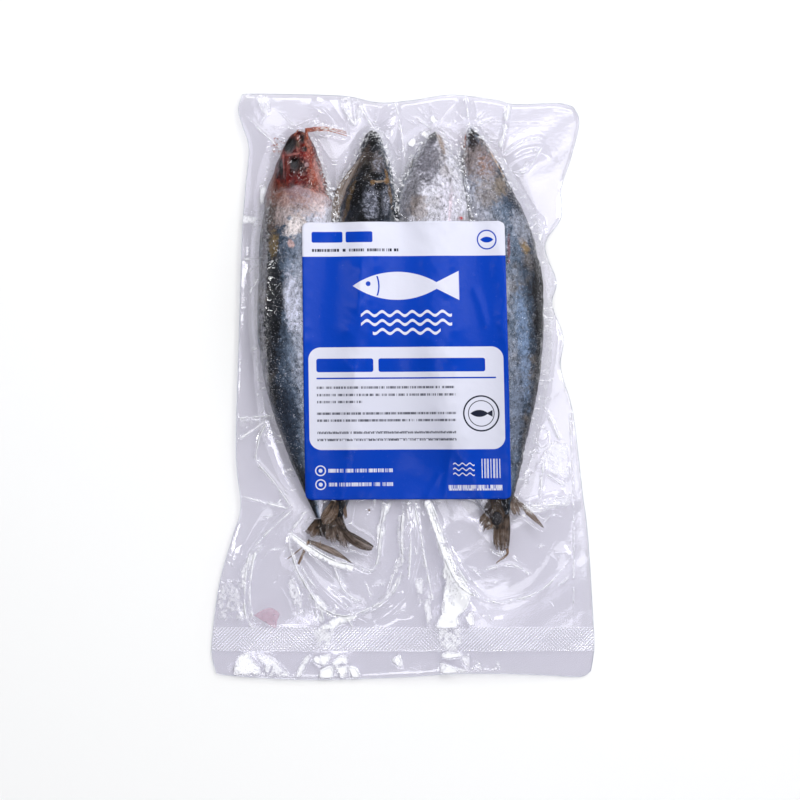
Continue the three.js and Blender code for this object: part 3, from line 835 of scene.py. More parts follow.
# Strings of clotted blood that run off the first fish's snout to the right, each thinner to its end,
# two short ones on the snout, and a fine spatter beside it on the film's inner side.
BLOOD_STRING = [
    (-50.4, 133.2, 6.8), (-46, 133.9, 6.4), (-40, 134.1, 6.1), (-34, 132.9, 6.0), (-29.2, 131.6, 5.9),
]
STRING_OFFSETS = [(0, 0, 1.7, 0.35), (0.2, -0.7, 1.3, 0.4), (-0.3, 0.5, 1.0, 0.3)]
strings = []
for dx, dy, thick, thin in STRING_OFFSETS:
    places = [(x + dx, y + dy * (1 + k * 0.2), z) for k, (x, y, z) in enumerate(BLOOD_STRING)]
    strings.append(thread(places, (thick, thin)))
strings.append(thread([(-49.8, 133.8, 6.8), (-50, 131.6, 7.4), (-49.6, 128.4, 8.4)], (1.9, 1.5), 12))
strings.append(thread([(-56.4, 130.4, 6.8), (-55.2, 132.2, 6.6), (-54.2, 133.6, 6.3)], (1.1, 0.4), 12))
SPATTER_PLACE = (-65, 125.4)
SPATTERS = 26
spatter_draw = np.random.default_rng(5)
for _ in range(SPATTERS):
    x, y = SPATTER_PLACE + spatter_draw.normal(0, 1.7, 2) * (1, 1.5)
    turn = spatter_draw.uniform(0, math.pi)
    long = spatter_draw.uniform(0.4, 1.6)
    ends = [(x + s * long * math.cos(turn), y + s * long * math.sin(turn), 6.4) for s in (-0.5, 0, 0.5)]
    strings.append(thread(ends, (spatter_draw.uniform(0.3, 0.8), 0.2), 6))
blood = Finish("blood")
blood_tone = blood.noise(1.6, 4, 0.7)
pale = blood.between(blood.place_on("X"), -49, -36)
blood_colour = blood.ramp(blood_tone + pale * 0.3 - 0.06, (0.3, paint(98, 26, 14)), (0.5, paint(158, 74, 42)),
                          (0.85, paint(214, 166, 142)))
blood_look = blood.skin({"Base Color": blood_colour, "Roughness": 0.3, "Alpha": 1 - pale * 0.35,
                          "Normal": blood.bump(blood_tone, 0.3)})
string_points, string_faces, _ = gather(strings)
make_piece("blood_threads", string_points, string_faces.tolist(), blood_look, "pouch")
solids.append((string_points, string_faces))

# The eyes, flat glassy discs in the sides of the heads. In the pack they look sideways and down, so
# they show only from low down and underneath.
EYE_SHARE = 0.088
EYE_TURN = 80
EYE_RADIUS = 4.2
EYE_DOME = 0.75
EYE_SUNK = 0.9
EYES_SEEN = [(1, -1), (1, 1), (2, 1), (2, -1), (3, -1), (0, 1)]


def eye_at(number, side):
    """The place and the outward direction of a fish's eye."""
    fish = FISH[number]
    snout, root = fish["line"][0][1], fish["line"][-1][1]
    y = snout + (root - snout) * EYE_SHARE
    _, tall, rise = stance(fish, EYE_SHARE)
    angle = math.radians(fish["back"] + side * EYE_TURN)
    wide = half_width_of(fish, y)
    high = rise - FILM_ROOM + tall * math.sin(angle)
    place = np.array([middle_of(fish, y) + wide * math.cos(angle), y, high])
    outward = np.array([math.cos(angle) / wide, 0.25 / wide, math.sin(angle) / tall])
    return place, outward / np.linalg.norm(outward)


def eye_mesh(place, outward, rings=9, sides=28):
    """A low dome with a shallow rim, facing outward, and each point's share of its radius."""
    side = np.cross(outward, [0, 1.0, 0])
    side /= np.linalg.norm(side)
    over = np.cross(outward, side)
    share = np.linspace(0.02, 1, rings)[:, None]
    angle = np.linspace(0, 2 * math.pi, sides, endpoint=False)[None, :, None]
    high = EYE_DOME * np.sqrt(1 - 0.98 * share**2) - EYE_SUNK
    points = place + EYE_RADIUS * share[..., None] * (np.cos(angle) * side + np.sin(angle) * over)
    points = points + high[..., None] * outward
    return points.reshape(-1, 3), as_quads(rings, sides, True), np.repeat(share, sides, 1).ravel()


eyes = [eye_mesh(*eye_at(number, side)) for number, side in EYES_SEEN]
eye_points, eye_faces, _ = gather([eye[:2] for eye in eyes])
eye_points[:, 2] = np.maximum(eye_points[:, 2], TABLE_ROOM - 0.1)
eye = Finish("eye")
from_middle = eye.named("from_middle") + (eye.noise(1.5) - 0.5) * 0.08
iris = eye.ramp(from_middle, (0.0, paint(16, 17, 20)), (0.46, paint(20, 22, 26)),
                (0.52, paint(190, 186, 170)), (0.86, paint(150, 152, 150)), (1.0, paint(48, 50, 54)))
eye_look = eye.skin({"Base Color": iris, "Roughness": 0.12, "Coat Weight": 0.8,
                     "Normal": eye.bump(eye.noise(0.8), 0.1)})
make_piece("eyes", eye_points, eye_faces.tolist(), eye_look, "pouch",
           [("from_middle", np.concatenate([e[2] for e in eyes]))])
solids.append((eye_points, eye_faces))

# The film: clear nylon and polythene, drawn by the vacuum over the fish and welded round the border.
# It spans the hollows in tight curves, stands up in sharp creases of slack, and is one sheet each side.
WEB_HALF = 0.25
CELL = 0.8
GRID_X = np.arange(-102.4, 102.41, CELL)
GRID_Y = np.arange(-155.2, 155.21, CELL)
BRIDGE_RADIUS = 3.6
LABEL_BRIDGE_RADIUS = 34
UNDER_BRIDGE_RADIUS = 18
FILM_GAP = 0.3
LABEL_CORNERS = [(-50.6, -58.5), (56.2, -58), (52.2, 85.6), (-52, 84.8)]

# Broad folds of slack film: a ridge from one place to another, how far it bows, its width and height.
FOLDS = [
    ((-71, -62), (-83, -125), 9, 8, 2.0),
    ((-58, -74), (-30, -108), 5, 7, 1.8),
    ((-58, -74), (-15, -124), 7, 8, 2.0),
    ((-15, -122), (9, -76), 8, 8, 2.0),
    ((2, -56), (0, -120), -2, 9, 2.4),
    ((14, -60), (42, -118), 6, 10, 3.0),
    ((42, -118), (86, -84), 9, 11, 1.8),
    ((60, -62), (84, -56), 2, 8, 1.6),
    ((50, 108), (76, 122), -4, 7, 1.8),
    ((-46, 150), (-28, 128), 0, 6, 1.4),
    ((-4, 150), (-10, 128), 0, 6, 1.4),
    ((32, 150), (34, 134), 0, 6, 1.2),
]
FOLD_ENDS = 0.6
LINE_REACH = 2.6

# The sharp creases on and between them: each one's crest, its height, and its half width at the foot.
CREASES = [
    ([(-25, 152), (-20, 142), (-14.6, 133.6)], 0.7, 1.9),
    ([(-4.2, 149), (-1, 134), (1, 118)], 0.8, 2.0),
    ([(32.2, 151.8), (34.8, 134.7)], 0.6, 1.6),
    ([(55.2, 147.4), (50.8, 122.2)], 0.7, 1.8),
    ([(-33.3, 149.2), (-25, 135.4)], 0.5, 1.5),
    ([(-21.8, 148.2), (-23.9, 136.8)], 0.6, 1.5),
    ([(-1, 130.5), (-1.7, 120.9)], 0.6, 1.4),
    ([(38.8, 137.3), (72.2, 136.8)], 0.22, 0.9),
    ([(52, 120.9), (60.8, 126.9), (69.7, 129.7), (72.8, 127.2), (69.7, 120.1), (64, 112.1),
      (58.2, 111.4)], 1.0, 1.9),
    ([(-80.6, 139.9), (-71.2, 130.5), (-62.9, 122.7)], 0.8, 1.8),
    ([(-71, 141.7), (-73.6, 136.8)], 0.7, 1.6),
    ([(-84.8, -16), (-66.6, -14.6)], 0.8, 2.4),
    ([(-67, -14.6), (-84.8, -27)], 0.5, 1.8),
    ([(-66.8, -15.6), (-71.4, -20.3), (-74, -25.5), (-76, -33.5), (-75.7, -38.8), (-70, -45.4),
      (-63.4, -54.1), (-57.5, -63.3)], 1.0, 1.8),
    ([(-57.5, -63.7), (-70, -60.5), (-83.7, -56.7)], 0.5, 1.5),
    ([(-57.5, -63.7), (-70.2, -75.4), (-76.7, -82.7), (-80, -87.9), (-82, -103), (-81.6, -118.6),
      (-77, -126.4)], 0.9, 1.8),
    ([(-76, -84), (-78.6, -96), (-79.4, -110), (-77.5, -121)], 0.5, 1.3),
    ([(-59.1, -74.6), (-50.2, -81.1), (-40.2, -87.4), (-32.9, -90.5), (-26.3, -91.9), (-17.7, -95.2),
      (-13.7, -91.2), (-12.4, -82.6), (-11, -72.6), (-8.3, -59.8)], 1.0, 1.8),
    ([(-57, -76.2), (-48, -83.6), (-38, -89.8), (-27, -94)], 0.5, 1.2),
    ([(-59.1, -74.6), (-58.8, -82.6), (-55.6, -92.6), (-52.8, -98.5), (-43.2, -113.4), (-30.2, -118.6),
      (-14.6, -113.4), (-4.2, -105.6), (-0.5, -92.6), (-1, -76), (0.5, -60)], 1.1, 2.0),
    ([(-59.1, -74.6), (-56.6, -86), (-51, -96), (-44, -106)], 0.5, 1.3),
    ([(14.6, -59.2), (19.2, -70.8), (23.9, -82.7), (29.2, -94.7), (34.5, -102.6), (41.1, -108.6),
      (46.4, -111.3)], 0.9, 2.2),
    ([(69.1, 124.5), (66.5, 118.5), (62.5, 113)], 0.6, 1.2),
    ([(4, -59.5), (1.3, -63.5), (1, -69.5)], 0.5, 1.2),
    ([(11.4, -58.8), (19.2, -82.2), (29.6, -103), (45.2, -110.8), (53, -111.3), (71.2, -105.6),
      (86.8, -90)], 0.8, 2.0),
    ([(73.3, -37.8), (72.1, -47.3), (71.5, -58.8)], 0.6, 1.6),
    ([(74.5, -45), (83.5, -51)], 0.6, 1.6),
    ([(66, -61.7), (84.7, -60.5)], 0.6, 1.8),
    ([(69.7, -4.7), (76, -15), (81.6, -27.6)], 0.5, 1.6),
    ([(86.5, -6.8), (88.6, -60), (88.8, -122)], 0.25, 0.9),
    ([(70, 88), (72.4, 82), (71, 76)], 0.7, 1.6),
    ([(-43.2, -113.4), (-40, -124.5)], 0.9, 2),
    ([(-30.2, -118.6), (-26, -124.6)], 0.8, 2),
    ([(-4.5, -96), (-9, -108), (-16, -116)], 0.6, 1.7),
    ([(-36, -92), (-30, -106), (-20, -112)], 0.5, 1.8),
    ([(2, -60), (4, -80), (3, -100)], 0.7, 1.7),
    ([(6, -60), (9.5, -78), (13, -98), (16, -112)], 0.7, 1.8),
    ([(42, -95), (56, -92), (66, -97)], 0.4, 1.5),
    ([(45, -84), (52, -87)], 0.35, 1.2),
    ([(-66, -62), (-60, -52)], 0.5, 1.3),
    ([(-68, -72), (-58, -60)], 0.5, 1.4),
    ([(-50, -64), (-57, -73.6)], 0.5, 1.4),
]
BUBBLES = [
    (-72.4, -3.6, 3, 3),
    (-68, -25.5, 4.3, 4.3),
    (-73, 12, 3, 9.6),
    (69.6, 84.5, 4, 5),
    (71, 16, 1.6, 1.6),
    (72.6, 10, 1.4, 1.4),
    (-68.4, -15.2, 4.4, 7),
    (72.5, -26, 3, 5),
]

# Flat facets of slack film: each one's outline, how steeply it leans toward the foot (toward the head
# below 0), and how strong the painted highlight on it is, partly stress-whitened film.
FACETS = [
    ([(-76.3, 151), (-68.8, 150.7), (-69.4, 141.7), (-71.5, 140), (-74.1, 144.9)], -0.03, 0.25),
    ([(-32.8, 151), (-27.5, 151), (-25.3, 135.9), (-26.9, 136.4)], -0.04, 0.3),
    ([(-23.7, 146.5), (-20, 146.5), (-22.1, 140.6), (-24.3, 135.9), (-25.1, 136.4)], -0.04, 0.3),
    ([(-74.1, 104), (-71, 104), (-73.1, 94.5), (-74.3, 94.5)], 0, 0.7),
    ([(-84.2, 89.7), (-76.8, 88.1), (-75.2, 85.5), (-84, 85.5)], 0, 0.5),
    ([(2.6, 126.6), (6.5, 130.4), (7.2, 128.7), (4.4, 124.5)], -0.05, 0.9),
    ([(8.9, 132.9), (11.7, 132.2), (13.4, 130.1), (10, 130.8)], -0.05, 0.9),
    ([(14.1, 140.2), (16.6, 140.5), (17.6, 137.7), (14.8, 137.4)], -0.05, 0.9),
    ([(53.4, 146.8), (56.3, 146.8), (52.8, 131.5), (50.4, 123.1), (49.6, 124.5), (51.7, 134.9)], -0.04,
      0.4),
    ([(-85, -15), (-66.6, -14.8), (-70, -19), (-84.6, -21)], 0.04, 0.15),
    ([(60, -62), (86, -56), (88, -61), (66, -66)], 0.04, 0.25),
    ([(69, -42), (86, -48), (85, -30), (77, -28)], -0.03, 0.3),
    ([(-82.6, -92.6), (-78, -86.2), (-73, -81.9), (-74.4, -84), (-78.4, -91.1), (-80.9, -96.8),
      (-81.6, -105.4), (-83.3, -102.6), (-83.9, -97.6)], 0.02, 0.45),
    ([(-94, -101.1), (-85.1, -100.4), (-84.1, -109.7), (-81.6, -115.4), (-79.4, -120.4), (-95.1, -120.7),
      (-96.3, -112.5)], 0.03, 0.24),
    ([(-58.8, -75.6), (-49, -82), (-41.8, -86.6), (-34.7, -90.6), (-26.3, -93), (-26.3, -94.8),
      (-34.5, -93), (-42.4, -89.4), (-50.4, -84), (-57.5, -78)], 0.04, 1.0),
    ([(-59.1, -76.2), (-57.3, -84), (-54.5, -94.7), (-48.8, -103.3), (-43.1, -109.7), (-37.4, -114.7),
      (-31.7, -116.5), (-37.4, -117.6), (-41.6, -122.5), (-44.5, -120.4), (-47.3, -109.7), (-53, -101.1),
      (-57, -94)], 0.02, 0.42),
    ([(-42.7, -125), (-36.7, -120.9), (-32.4, -118.4), (-23.8, -118.8), (-26, -120.6), (-31.7, -122),
      (-36.7, -125.4)], 0.04, 0.95),
    ([(-31, -116.1), (-21, -116.1), (-11, -110.4), (-4.6, -102.6), (-1.7, -94.7), (-0.6, -98.3),
      (-6.2, -108), (-16, -115.4), (-24.5, -118)], 0.02, 0.42),
    ([(-57.3, -98.3), (-53, -109.7), (-51.3, -118.6), (-55.9, -114), (-60.2, -102.6)], -0.02, 0.3),
    ([(-63, -104.7), (-58.8, -111.1), (-57.3, -116.8), (-48, -124.6), (-67.3, -124.6), (-78, -121.8),
      (-79.1, -117.2), (-68.7, -109)], -0.05, 0),
    ([(-13, -71.6), (-10, -71.6), (-10, -76.6), (-12.8, -76.6)], 0.04, 0.75),
    ([(-10.3, -59), (-5.3, -59), (-10, -69.8), (-11.7, -84), (-13.7, -84), (-12.2, -69.8)], 0, 0.35),
    ([(-3.1, -64), (0.6, -64), (0.3, -91.1), (-2, -97.4), (-6.7, -95.7), (-2.2, -88.3)], 0, 0.3),
    ([(10.9, -59.2), (13.9, -66.8), (17.2, -76.1), (19.9, -84.1), (22.3, -91.4), (21.2, -97.3),
      (22.2, -102.6), (21.2, -109.9), (20.2, -117.9), (17.2, -124.6), (28.5, -124.6), (27.8, -118.6),
      (31.2, -116.6), (33.8, -111.9), (34.8, -106.6), (31.2, -100), (26.5, -93.4), (23.2, -84.7),
      (19.9, -76.1), (16.6, -66.8), (14, -59.2)], 0.02, 1.0),
    ([(32.5, -118.9), (34.5, -116.9), (37.1, -116.9), (36.1, -123.9), (33.8, -122.5)], 0.04, 0.8),
    ([(6.6, -100), (9.9, -99.3), (9.6, -110), (8.6, -113.3)], 0.03, 0.4),
    ([(11.3, -105.3), (13.6, -106), (14.6, -119.9), (13.4, -123.9), (10.8, -113.3)], 0.03, 0.45),
    ([(19.2, -126), (30, -126), (32, -130), (27, -136.5), (20.4, -136.5), (18.4, -131)], 0, 0.36),
    ([(-46.6, -126), (-35.4, -126), (-36.6, -130), (-40, -136.6), (-43.4, -136.6)], 0, 0.36),
    ([(-86.9, -140.3), (-80.1, -137.5), (-79.4, -141), (-73.7, -146), (-74.4, -149.4), (-87.4, -149)],
      0.03, 0.6),
    ([(-76.6, -138.2), (-68.7, -140.3), (-63, -144.6), (-58.8, -149.6), (-70.2, -149.8), (-72.3, -144.6)],
      0.03, 0.5),
    ([(-50.9, -140.3), (-48, -138.9), (-53.4, -149.6), (-55.9, -150)], 0.04, 0.65),
    ([(-46.3, -140.3), (-38.1, -138.9), (-38.4, -142.5), (-40.9, -144.6), (-45.9, -142.5)], 0.05, 0.95),
    ([(-37.4, -143.9), (-33.1, -139.6), (-28.8, -140.3), (-29.5, -143.2), (-35.9, -144.6)], 0.05, 0.7),
    ([(-42.4, -146.8), (-37.4, -144.8), (-36, -148.2), (-37.4, -150.8), (-43.1, -150.8)], 0.05, 1.0),
    ([(-35.4, -145.3), (-28.9, -144.8), (-29.5, -150.3), (-32.4, -150.8)], 0.05, 0.85),
    ([(-28.1, -144.8), (-24.5, -146), (-21.9, -150.1), (-26, -150.6)], 0.05, 1.0),
    ([(-5.6, -141.6), (-2.4, -138.9), (-0.3, -142.5), (-1, -145.6), (-3.8, -143.2)], 0.05, 0.7),
    ([(19.9, -139.6), (21.4, -137.6), (29.2, -137.6), (30.5, -139.4), (22.5, -140.4)], 0.05, 0.8),
    ([(19.9, -143.1), (25.2, -145.4), (33.8, -147.7), (19.9, -148.2)], 0.05, 1.0),
    ([(30.5, -139.8), (33.8, -139.1), (34.5, -146.4), (32.5, -144.4)], 0.05, 0.45),
    ([(38.5, -142.4), (41.1, -146.4), (35.8, -147.1)], 0.04, 0.35),
    ([(49.1, -142.4), (50.9, -146.4), (47.1, -146.4)], 0.04, 0.35),
]


def distance_to(x, y, path):
    """How far points are from a path, the share of its length at the nearest place, and on which side."""
    best = np.full(x.shape, 1e9)
    where = np.zeros(x.shape)
    sign = np.ones(x.shape)
    long = np.concatenate([[0], np.cumsum(np.linalg.norm(np.diff(path, axis=0), axis=1))])
    for k, (a, b) in enumerate(zip(path[:-1], path[1:])):
        side = b - a
        t = np.clip(((x - a[0]) * side[0] + (y - a[1]) * side[1]) / (side @ side), 0, 1)
        far = np.hypot(x - a[0] - t * side[0], y - a[1] - t * side[1])
        closer = far < best
        sign = np.where(closer, np.where((x - a[0]) * side[1] > (y - a[1]) * side[0], 1.0, -1.0), sign)
        best = np.where(closer, far, best)
        where = np.where(closer, (long[k] + t * (long[k + 1] - long[k])) / long[-1], where)
    return best, where, sign


def raise_crease(lift, x, y, places, height, reach):
    """Adds one crease's lift: a sharp crest that falls away to both sides and fades at its ends."""
    path = curve_through(places, 24) if len(places) > 2 else np.array(places, float)
    low, high = path.min(0) - reach * 2, path.max(0) + reach * 2
    rows = (y[:, 0] > low[1]) & (y[:, 0] < high[1])
    columns = (x[0] > low[0]) & (x[0] < high[0])
    near = np.ix_(rows, columns)
    far, share, _ = distance_to(x[near], y[near], path)
    fade = smooth(np.minimum(share, 1 - share) * 7 + 0.25)
    crest = np.maximum(0, 1 - far / reach) ** 1.6
    lift[near] = np.maximum(lift[near], height * fade * crest)


def in_outline(x, y, outline):
    """Whether points lie inside a closed outline."""
    inside = np.zeros(x.shape, bool)
    for (ax, ay), (bx, by) in zip(outline, np.roll(outline, -1, axis=0)):
        if ay != by:
            crosses = ((ay > y) != (by > y)) & (x < (bx - ax) * (y - ay) / (by - ay) + ax)
            inside ^= crosses
    return inside


grid_x, grid_y = np.meshgrid(GRID_X, GRID_Y)
crumple_draw = np.random.default_rng(31)


def crumple(x, y):
    """Flat facets with sharp edges between them, from zigzag waves in several directions."""
    total = np.zeros(x.shape)
    bent_x, bent_y = x + 2.5 * np.sin(y / 17 + 1), y + 2.5 * np.sin(x / 19)
    for wave in (41, 29, 23):
        way, phase = crumple_draw.uniform(0, math.pi), crumple_draw.uniform(0, 2)
        place = (bent_x * math.cos(way) + bent_y * math.sin(way)) / wave * 2 + phase
        total += wave * (np.abs(place % 2 - 1) - 0.5)
    return total / 41


# The film is crumpled a little everywhere, and more in the slack round the tails.
slack = 0.16 + 0.2 * smooth((-52 - grid_y) / 12) - 0.1 * smooth((-136 - grid_y) / 2)
seal = seal_height(grid_x, grid_y) + slack * crumple(grid_x, grid_y)
inside = in_outline(grid_x, grid_y, rim[::12])
far_in = distance_to(grid_x, grid_y, np.vstack([rim[::30], rim[:1]]))[0]
under_label = in_outline(grid_x, grid_y, np.array(LABEL_CORNERS))

# The ridges and facets lift the film's bed, and each bubble and facet is edged by a crease. Then come
# small wrinkles, drawn with a seeded hand: short creases square to the fish's sides, a fan of them
# round each snout, and stray ones in the slack.
folds = np.zeros(grid_x.shape)
for (ax, ay), (bx, by), bow, wide, height in FOLDS:
    long = math.hypot(bx - ax, by - ay)
    along = ((grid_x - ax) * (bx - ax) + (grid_y - ay) * (by - ay)) / long**2
    aside = ((grid_x - ax) * (by - ay) - (grid_y - ay) * (bx - ax)) / long - bow * 4 * along * (1 - along)
    fade = np.sin(math.pi * np.clip(along, 0, 1)) ** FOLD_ENDS
    folds = np.maximum(folds, height * bell(aside / (wide / 2)) * fade)
creases = list(CREASES)
for x, y, half_x, half_y in BUBBLES:
    far = np.hypot((grid_x - x) / half_x, (grid_y - y) / half_y)
    folds = np.maximum(folds, 0.22 * half_x * np.sqrt(np.maximum(0, 1 - far**2)))
    turns = np.linspace(0.3, 6.0, 14)
    creases.append((list(zip(x + half_x * np.cos(turns), y + half_y * np.sin(turns))), 0.26, 1.2))
# How much painted highlight each place of the film gets, partly stress-whitened film.
stretched = np.zeros(grid_x.shape)
for outline_of, lean, white in FACETS:
    hinge = min(y for _, y in outline_of) if lean > 0 else max(y for _, y in outline_of)
    within = in_outline(grid_x, grid_y, np.array(outline_of))
    folds = np.maximum(folds, within * lean * (grid_y - hinge))
    stretched = np.maximum(stretched, within * white)
    if lean:
        sides = zip(outline_of, [*outline_of[1:], outline_of[0]])
        creases.extend((side, 0.1 + 0.2 * white, 1.0) for side in sides)
wrinkle_draw = np.random.default_rng(12)
OUTER_SIDES = [(0, -1), (3, 1)]
SNOUT_WRINKLES = 11
SLACK_WRINKLES = 110
for number, side in (*OUTER_SIDES, (0, 1), (1, -1), (1, 1), (2, -1), (2, 1), (3, -1)):
    outer = (number, side) in OUTER_SIDES
    for y in wrinkle_draw.uniform(-66, 132, 70) if outer else wrinkle_draw.uniform(96, 134, 16):
        fish = FISH[number]
        x = middle_of(fish, y) + side * half_width_of(fish, y)
        angle = wrinkle_draw.normal(0, 0.6)
        long = wrinkle_draw.uniform(1.5, 10) if outer else wrinkle_draw.uniform(1.5, 5)
        start = np.array([x - side * 1, y])
        end = start + long * np.array([side * math.cos(angle), math.sin(angle)])
        bent = (start + end) / 2 + wrinkle_draw.normal(0, 0.6, 2)
        height = wrinkle_draw.uniform(0.05, 0.6) ** 1.5
        creases.append(([start, bent, end], height, wrinkle_draw.uniform(0.9, 1.7)))
for fish in FISH:
    for _ in range(SNOUT_WRINKLES):
        angle = wrinkle_draw.uniform(0.15, math.pi - 0.15)
        way = np.array([math.cos(angle), math.sin(angle)])
        start = np.array(fish["line"][0]) + way * wrinkle_draw.uniform(0.5, 3)
        end = start + way * wrinkle_draw.uniform(4, 15)
        bent = (start + end) / 2 + wrinkle_draw.normal(0, 0.5, 2)
        creases.append(([start, bent, end], wrinkle_draw.uniform(0.06, 0.4), 1.2))
for _ in range(SLACK_WRINKLES):
    start = np.array([wrinkle_draw.uniform(-90, 92), wrinkle_draw.uniform(-122, -56)])
    angle = wrinkle_draw.uniform(0, math.pi)
    end = start + wrinkle_draw.uniform(1.5, 9) * np.array([math.cos(angle), math.sin(angle)])
    creases.append(([start, end], wrinkle_draw.uniform(0.05, 0.28), wrinkle_draw.uniform(0.9, 1.6)))
# By the heads the film is taut, so the creases there are lower and show less.
TAUT_FROM = 90
lift = np.zeros(grid_x.shape)
for places, height, reach in creases:
    raise_crease(lift, grid_x, grid_y, places, height * (0.7 if places[0][1] < TAUT_FROM else 0.4), reach)


def crease_lines(x, y):
    """How far places on the film are from the nearest crease, to which side, and that crease's height."""
    far_away, high = np.full(x.shape, 9.0), np.zeros(x.shape)
    for places, height, _ in creases:
        path = curve_through(places, 24) if len(places) > 2 else np.array(places, float)
        low, top = path.min(0) - LINE_REACH, path.max(0) + LINE_REACH
        near = np.nonzero((x > low[0]) & (x < top[0]) & (y > low[1]) & (y < top[1]))
        far, share, side = distance_to(x[near], y[near], path)
        fade = smooth(np.minimum(share, 1 - share) * 7 + 0.25) * smooth((LINE_REACH - far) / 1.2)
        shown = height * fade * (1 if places[0][1] < TAUT_FROM else 0.6)
        better = shown > high[near]
        high[near] = np.where(better, shown, high[near])
        far_away[near] = np.where(better, side * far, far_away[near])
    return far_away, high


fish_points, fish_faces, _ = gather(solids)
tree = BVHTree.FromPolygons(fish_points.tolist(), fish_faces.tolist())


def touch_heights(up):
    """The height of the fish under each place of the grid, from above or from below."""
    found = np.full(grid_x.size, -1e3 if up else 1e3)
    start, way = (60, (0, 0, -1)) if up else (-20, (0, 0, 1))
    for k, (x, y, within) in enumerate(zip(grid_x.ravel(), grid_y.ravel(), inside.ravel())):
        if within:
            place = tree.ray_cast((x, y, start), way)[0]
            if place:
                found[k] = place[2]
    return found.reshape(grid_x.shape)


def drape(limit, sense, radius, passes=((4, 260), (2, 200), (1, 110))):
    """Film pulled tight over its limit, from above for 1 and from below for -1, coarse cells first."""
    height = sense * limit
    for step, count in passes:
        floor = sense * limit
        if step > 1:
            rows, columns = (floor.shape[0] // step) * step, (floor.shape[1] // step) * step
            cells = floor[:rows, :columns].reshape(rows // step, step, columns // step, step).max((1, 3))
            now = height[:rows, :columns].reshape(rows // step, step, columns // step, step).max((1, 3))
            pinned = ~inside[:rows, :columns].reshape(rows // step, step, columns // step, step).any((1, 3))
            curve = radius[:rows:step, :columns:step]
        else:
            cells, now, pinned, curve = floor, height, ~inside, radius
        drop = (CELL * step) ** 2 / (4 * curve)
        for _ in range(count):
            mean = (np.roll(now, 1, 0) + np.roll(now, -1, 0) + np.roll(now, 1, 1) + np.roll(now, -1, 1)) / 4
            now = np.where(pinned, cells, np.maximum(mean - drop, cells))
        if step > 1:
            fine = np.kron(now, np.ones((step, step)))
            blur = np.pad(fine, step, mode="edge")
            offsets = range(-step // 2, step // 2 + 1)
            for axis in (0, 1):
                blur = sum(np.roll(blur, k, axis) for k in offsets) / len(offsets)
            fine = blur[step:-step, step:-step]
            height = height.copy()
            height[:rows, :columns] = np.maximum(floor[:rows, :columns], fine)
        else:
            height = now
    return sense * height


taper = smooth(far_in / 2)
top_touch = touch_heights(True)
bed = seal + 0.05 + WEB_HALF * taper + folds * smooth(far_in / 4) * inside
top_limit = np.maximum(bed, top_touch + FILM_GAP)
under_touch = np.where(touch_heights(False) < 1e2, touch_heights(False) - FILM_GAP, 1e3)
under_limit = np.minimum(seal - 0.05 - WEB_HALF * taper, under_touch)
top_radius = np.where(under_label, LABEL_BRIDGE_RADIUS, BRIDGE_RADIUS).astype(float)
film_top = drape(top_limit, 1, top_radius)
label_top = film_top.copy()
film_top = film_top + lift * smooth(far_in / 4) * inside * ~under_label
film_under = drape(under_limit, -1, np.full(grid_x.shape, float(UNDER_BRIDGE_RADIUS)))


def read_height(field, x, y):
    """The height of the film at any place, read off the grid."""
    i = np.clip((x - GRID_X[0]) / CELL, 0, len(GRID_X) - 1.001)
    j = np.clip((y - GRID_Y[0]) / CELL, 0, len(GRID_Y) - 1.001)
    i0, j0 = i.astype(int), j.astype(int)
    a, b = i - i0, j - j0
    low = field[j0, i0] * (1 - a) + field[j0, i0 + 1] * a
    high = field[j0 + 1, i0] * (1 - a) + field[j0 + 1, i0 + 1] * a
    return low * (1 - b) + high * b


def spread_out(field, times):
    """A field softened by averaging each place with its neighbours, so many times."""
    for _ in range(times):
        beside = np.roll(field, 1, 0) + np.roll(field, -1, 0) + np.roll(field, 1, 1) + np.roll(field, -1, 1)
        field = (field + beside) / 5
    return field


# Where the film touches the fish it loses its sheen. Frost and air are caught beside them: most between
# the heads, down the first fish's back and in the seams between the fish, and none on the torn head.
on_fish = (top_touch > -1e2) * 1.0
cling = spread_out((film_top - top_touch < FILM_GAP + 0.25) * 1.0, 2)
beside = spread_out(on_fish, 12)
frost = smooth(1.7 * (1 - np.abs(beside - 0.5) * 2))
between_heads = smooth((grid_y - 72) / 14) * smooth((58 - np.abs(grid_x - 6)) / 10)
frost = frost * (0.3 + 0.7 * between_heads) * smooth((grid_y + 52) / 14)
down_back = bell((grid_x + 71.5 - 0.02 * grid_y) / 3.2) * smooth((grid_y + 44) / 12)
frost = np.maximum(frost, 0.5 * down_back * on_fish)
for number in range(len(FISH) - 1):
    here, beyond = FISH[number], FISH[number + 1]
    this_side = middle_of(here, grid_y) + half_width_of(here, grid_y)
    far_side = middle_of(beyond, grid_y) - half_width_of(beyond, grid_y)
    seam = (this_side + far_side) / 2
    frost = np.maximum(frost, 0.8 * bell((grid_x - seam) / 2.2) * smooth((grid_y - 76) / 8) * on_fish)
on_third = bell((grid_x - 27.5 + 0.16 * (grid_y - 100)) / 3.4) * smooth((grid_y - 84) / 8)
frost = np.maximum(frost, 0.75 * on_third * on_fish)
frost *= 1 - 0.85 * smooth((grid_y - 101) / 4) * smooth((-43 - grid_x) / 4) * on_fish

# A faint white band of painted highlight, the film's gloss from the right, runs down beside the last fish.
stretched = spread_out(stretched, 1)
right_side = middle_of(FISH[3], grid_y) + half_width_of(FISH[3], grid_y)
painted_gloss_band = bell((grid_x - right_side - 3.4) / 1.9) * smooth((grid_y + 58) / 10) * smooth((128 - grid_y) / 10)
stretched = np.maximum(stretched, 0.16 * painted_gloss_band)


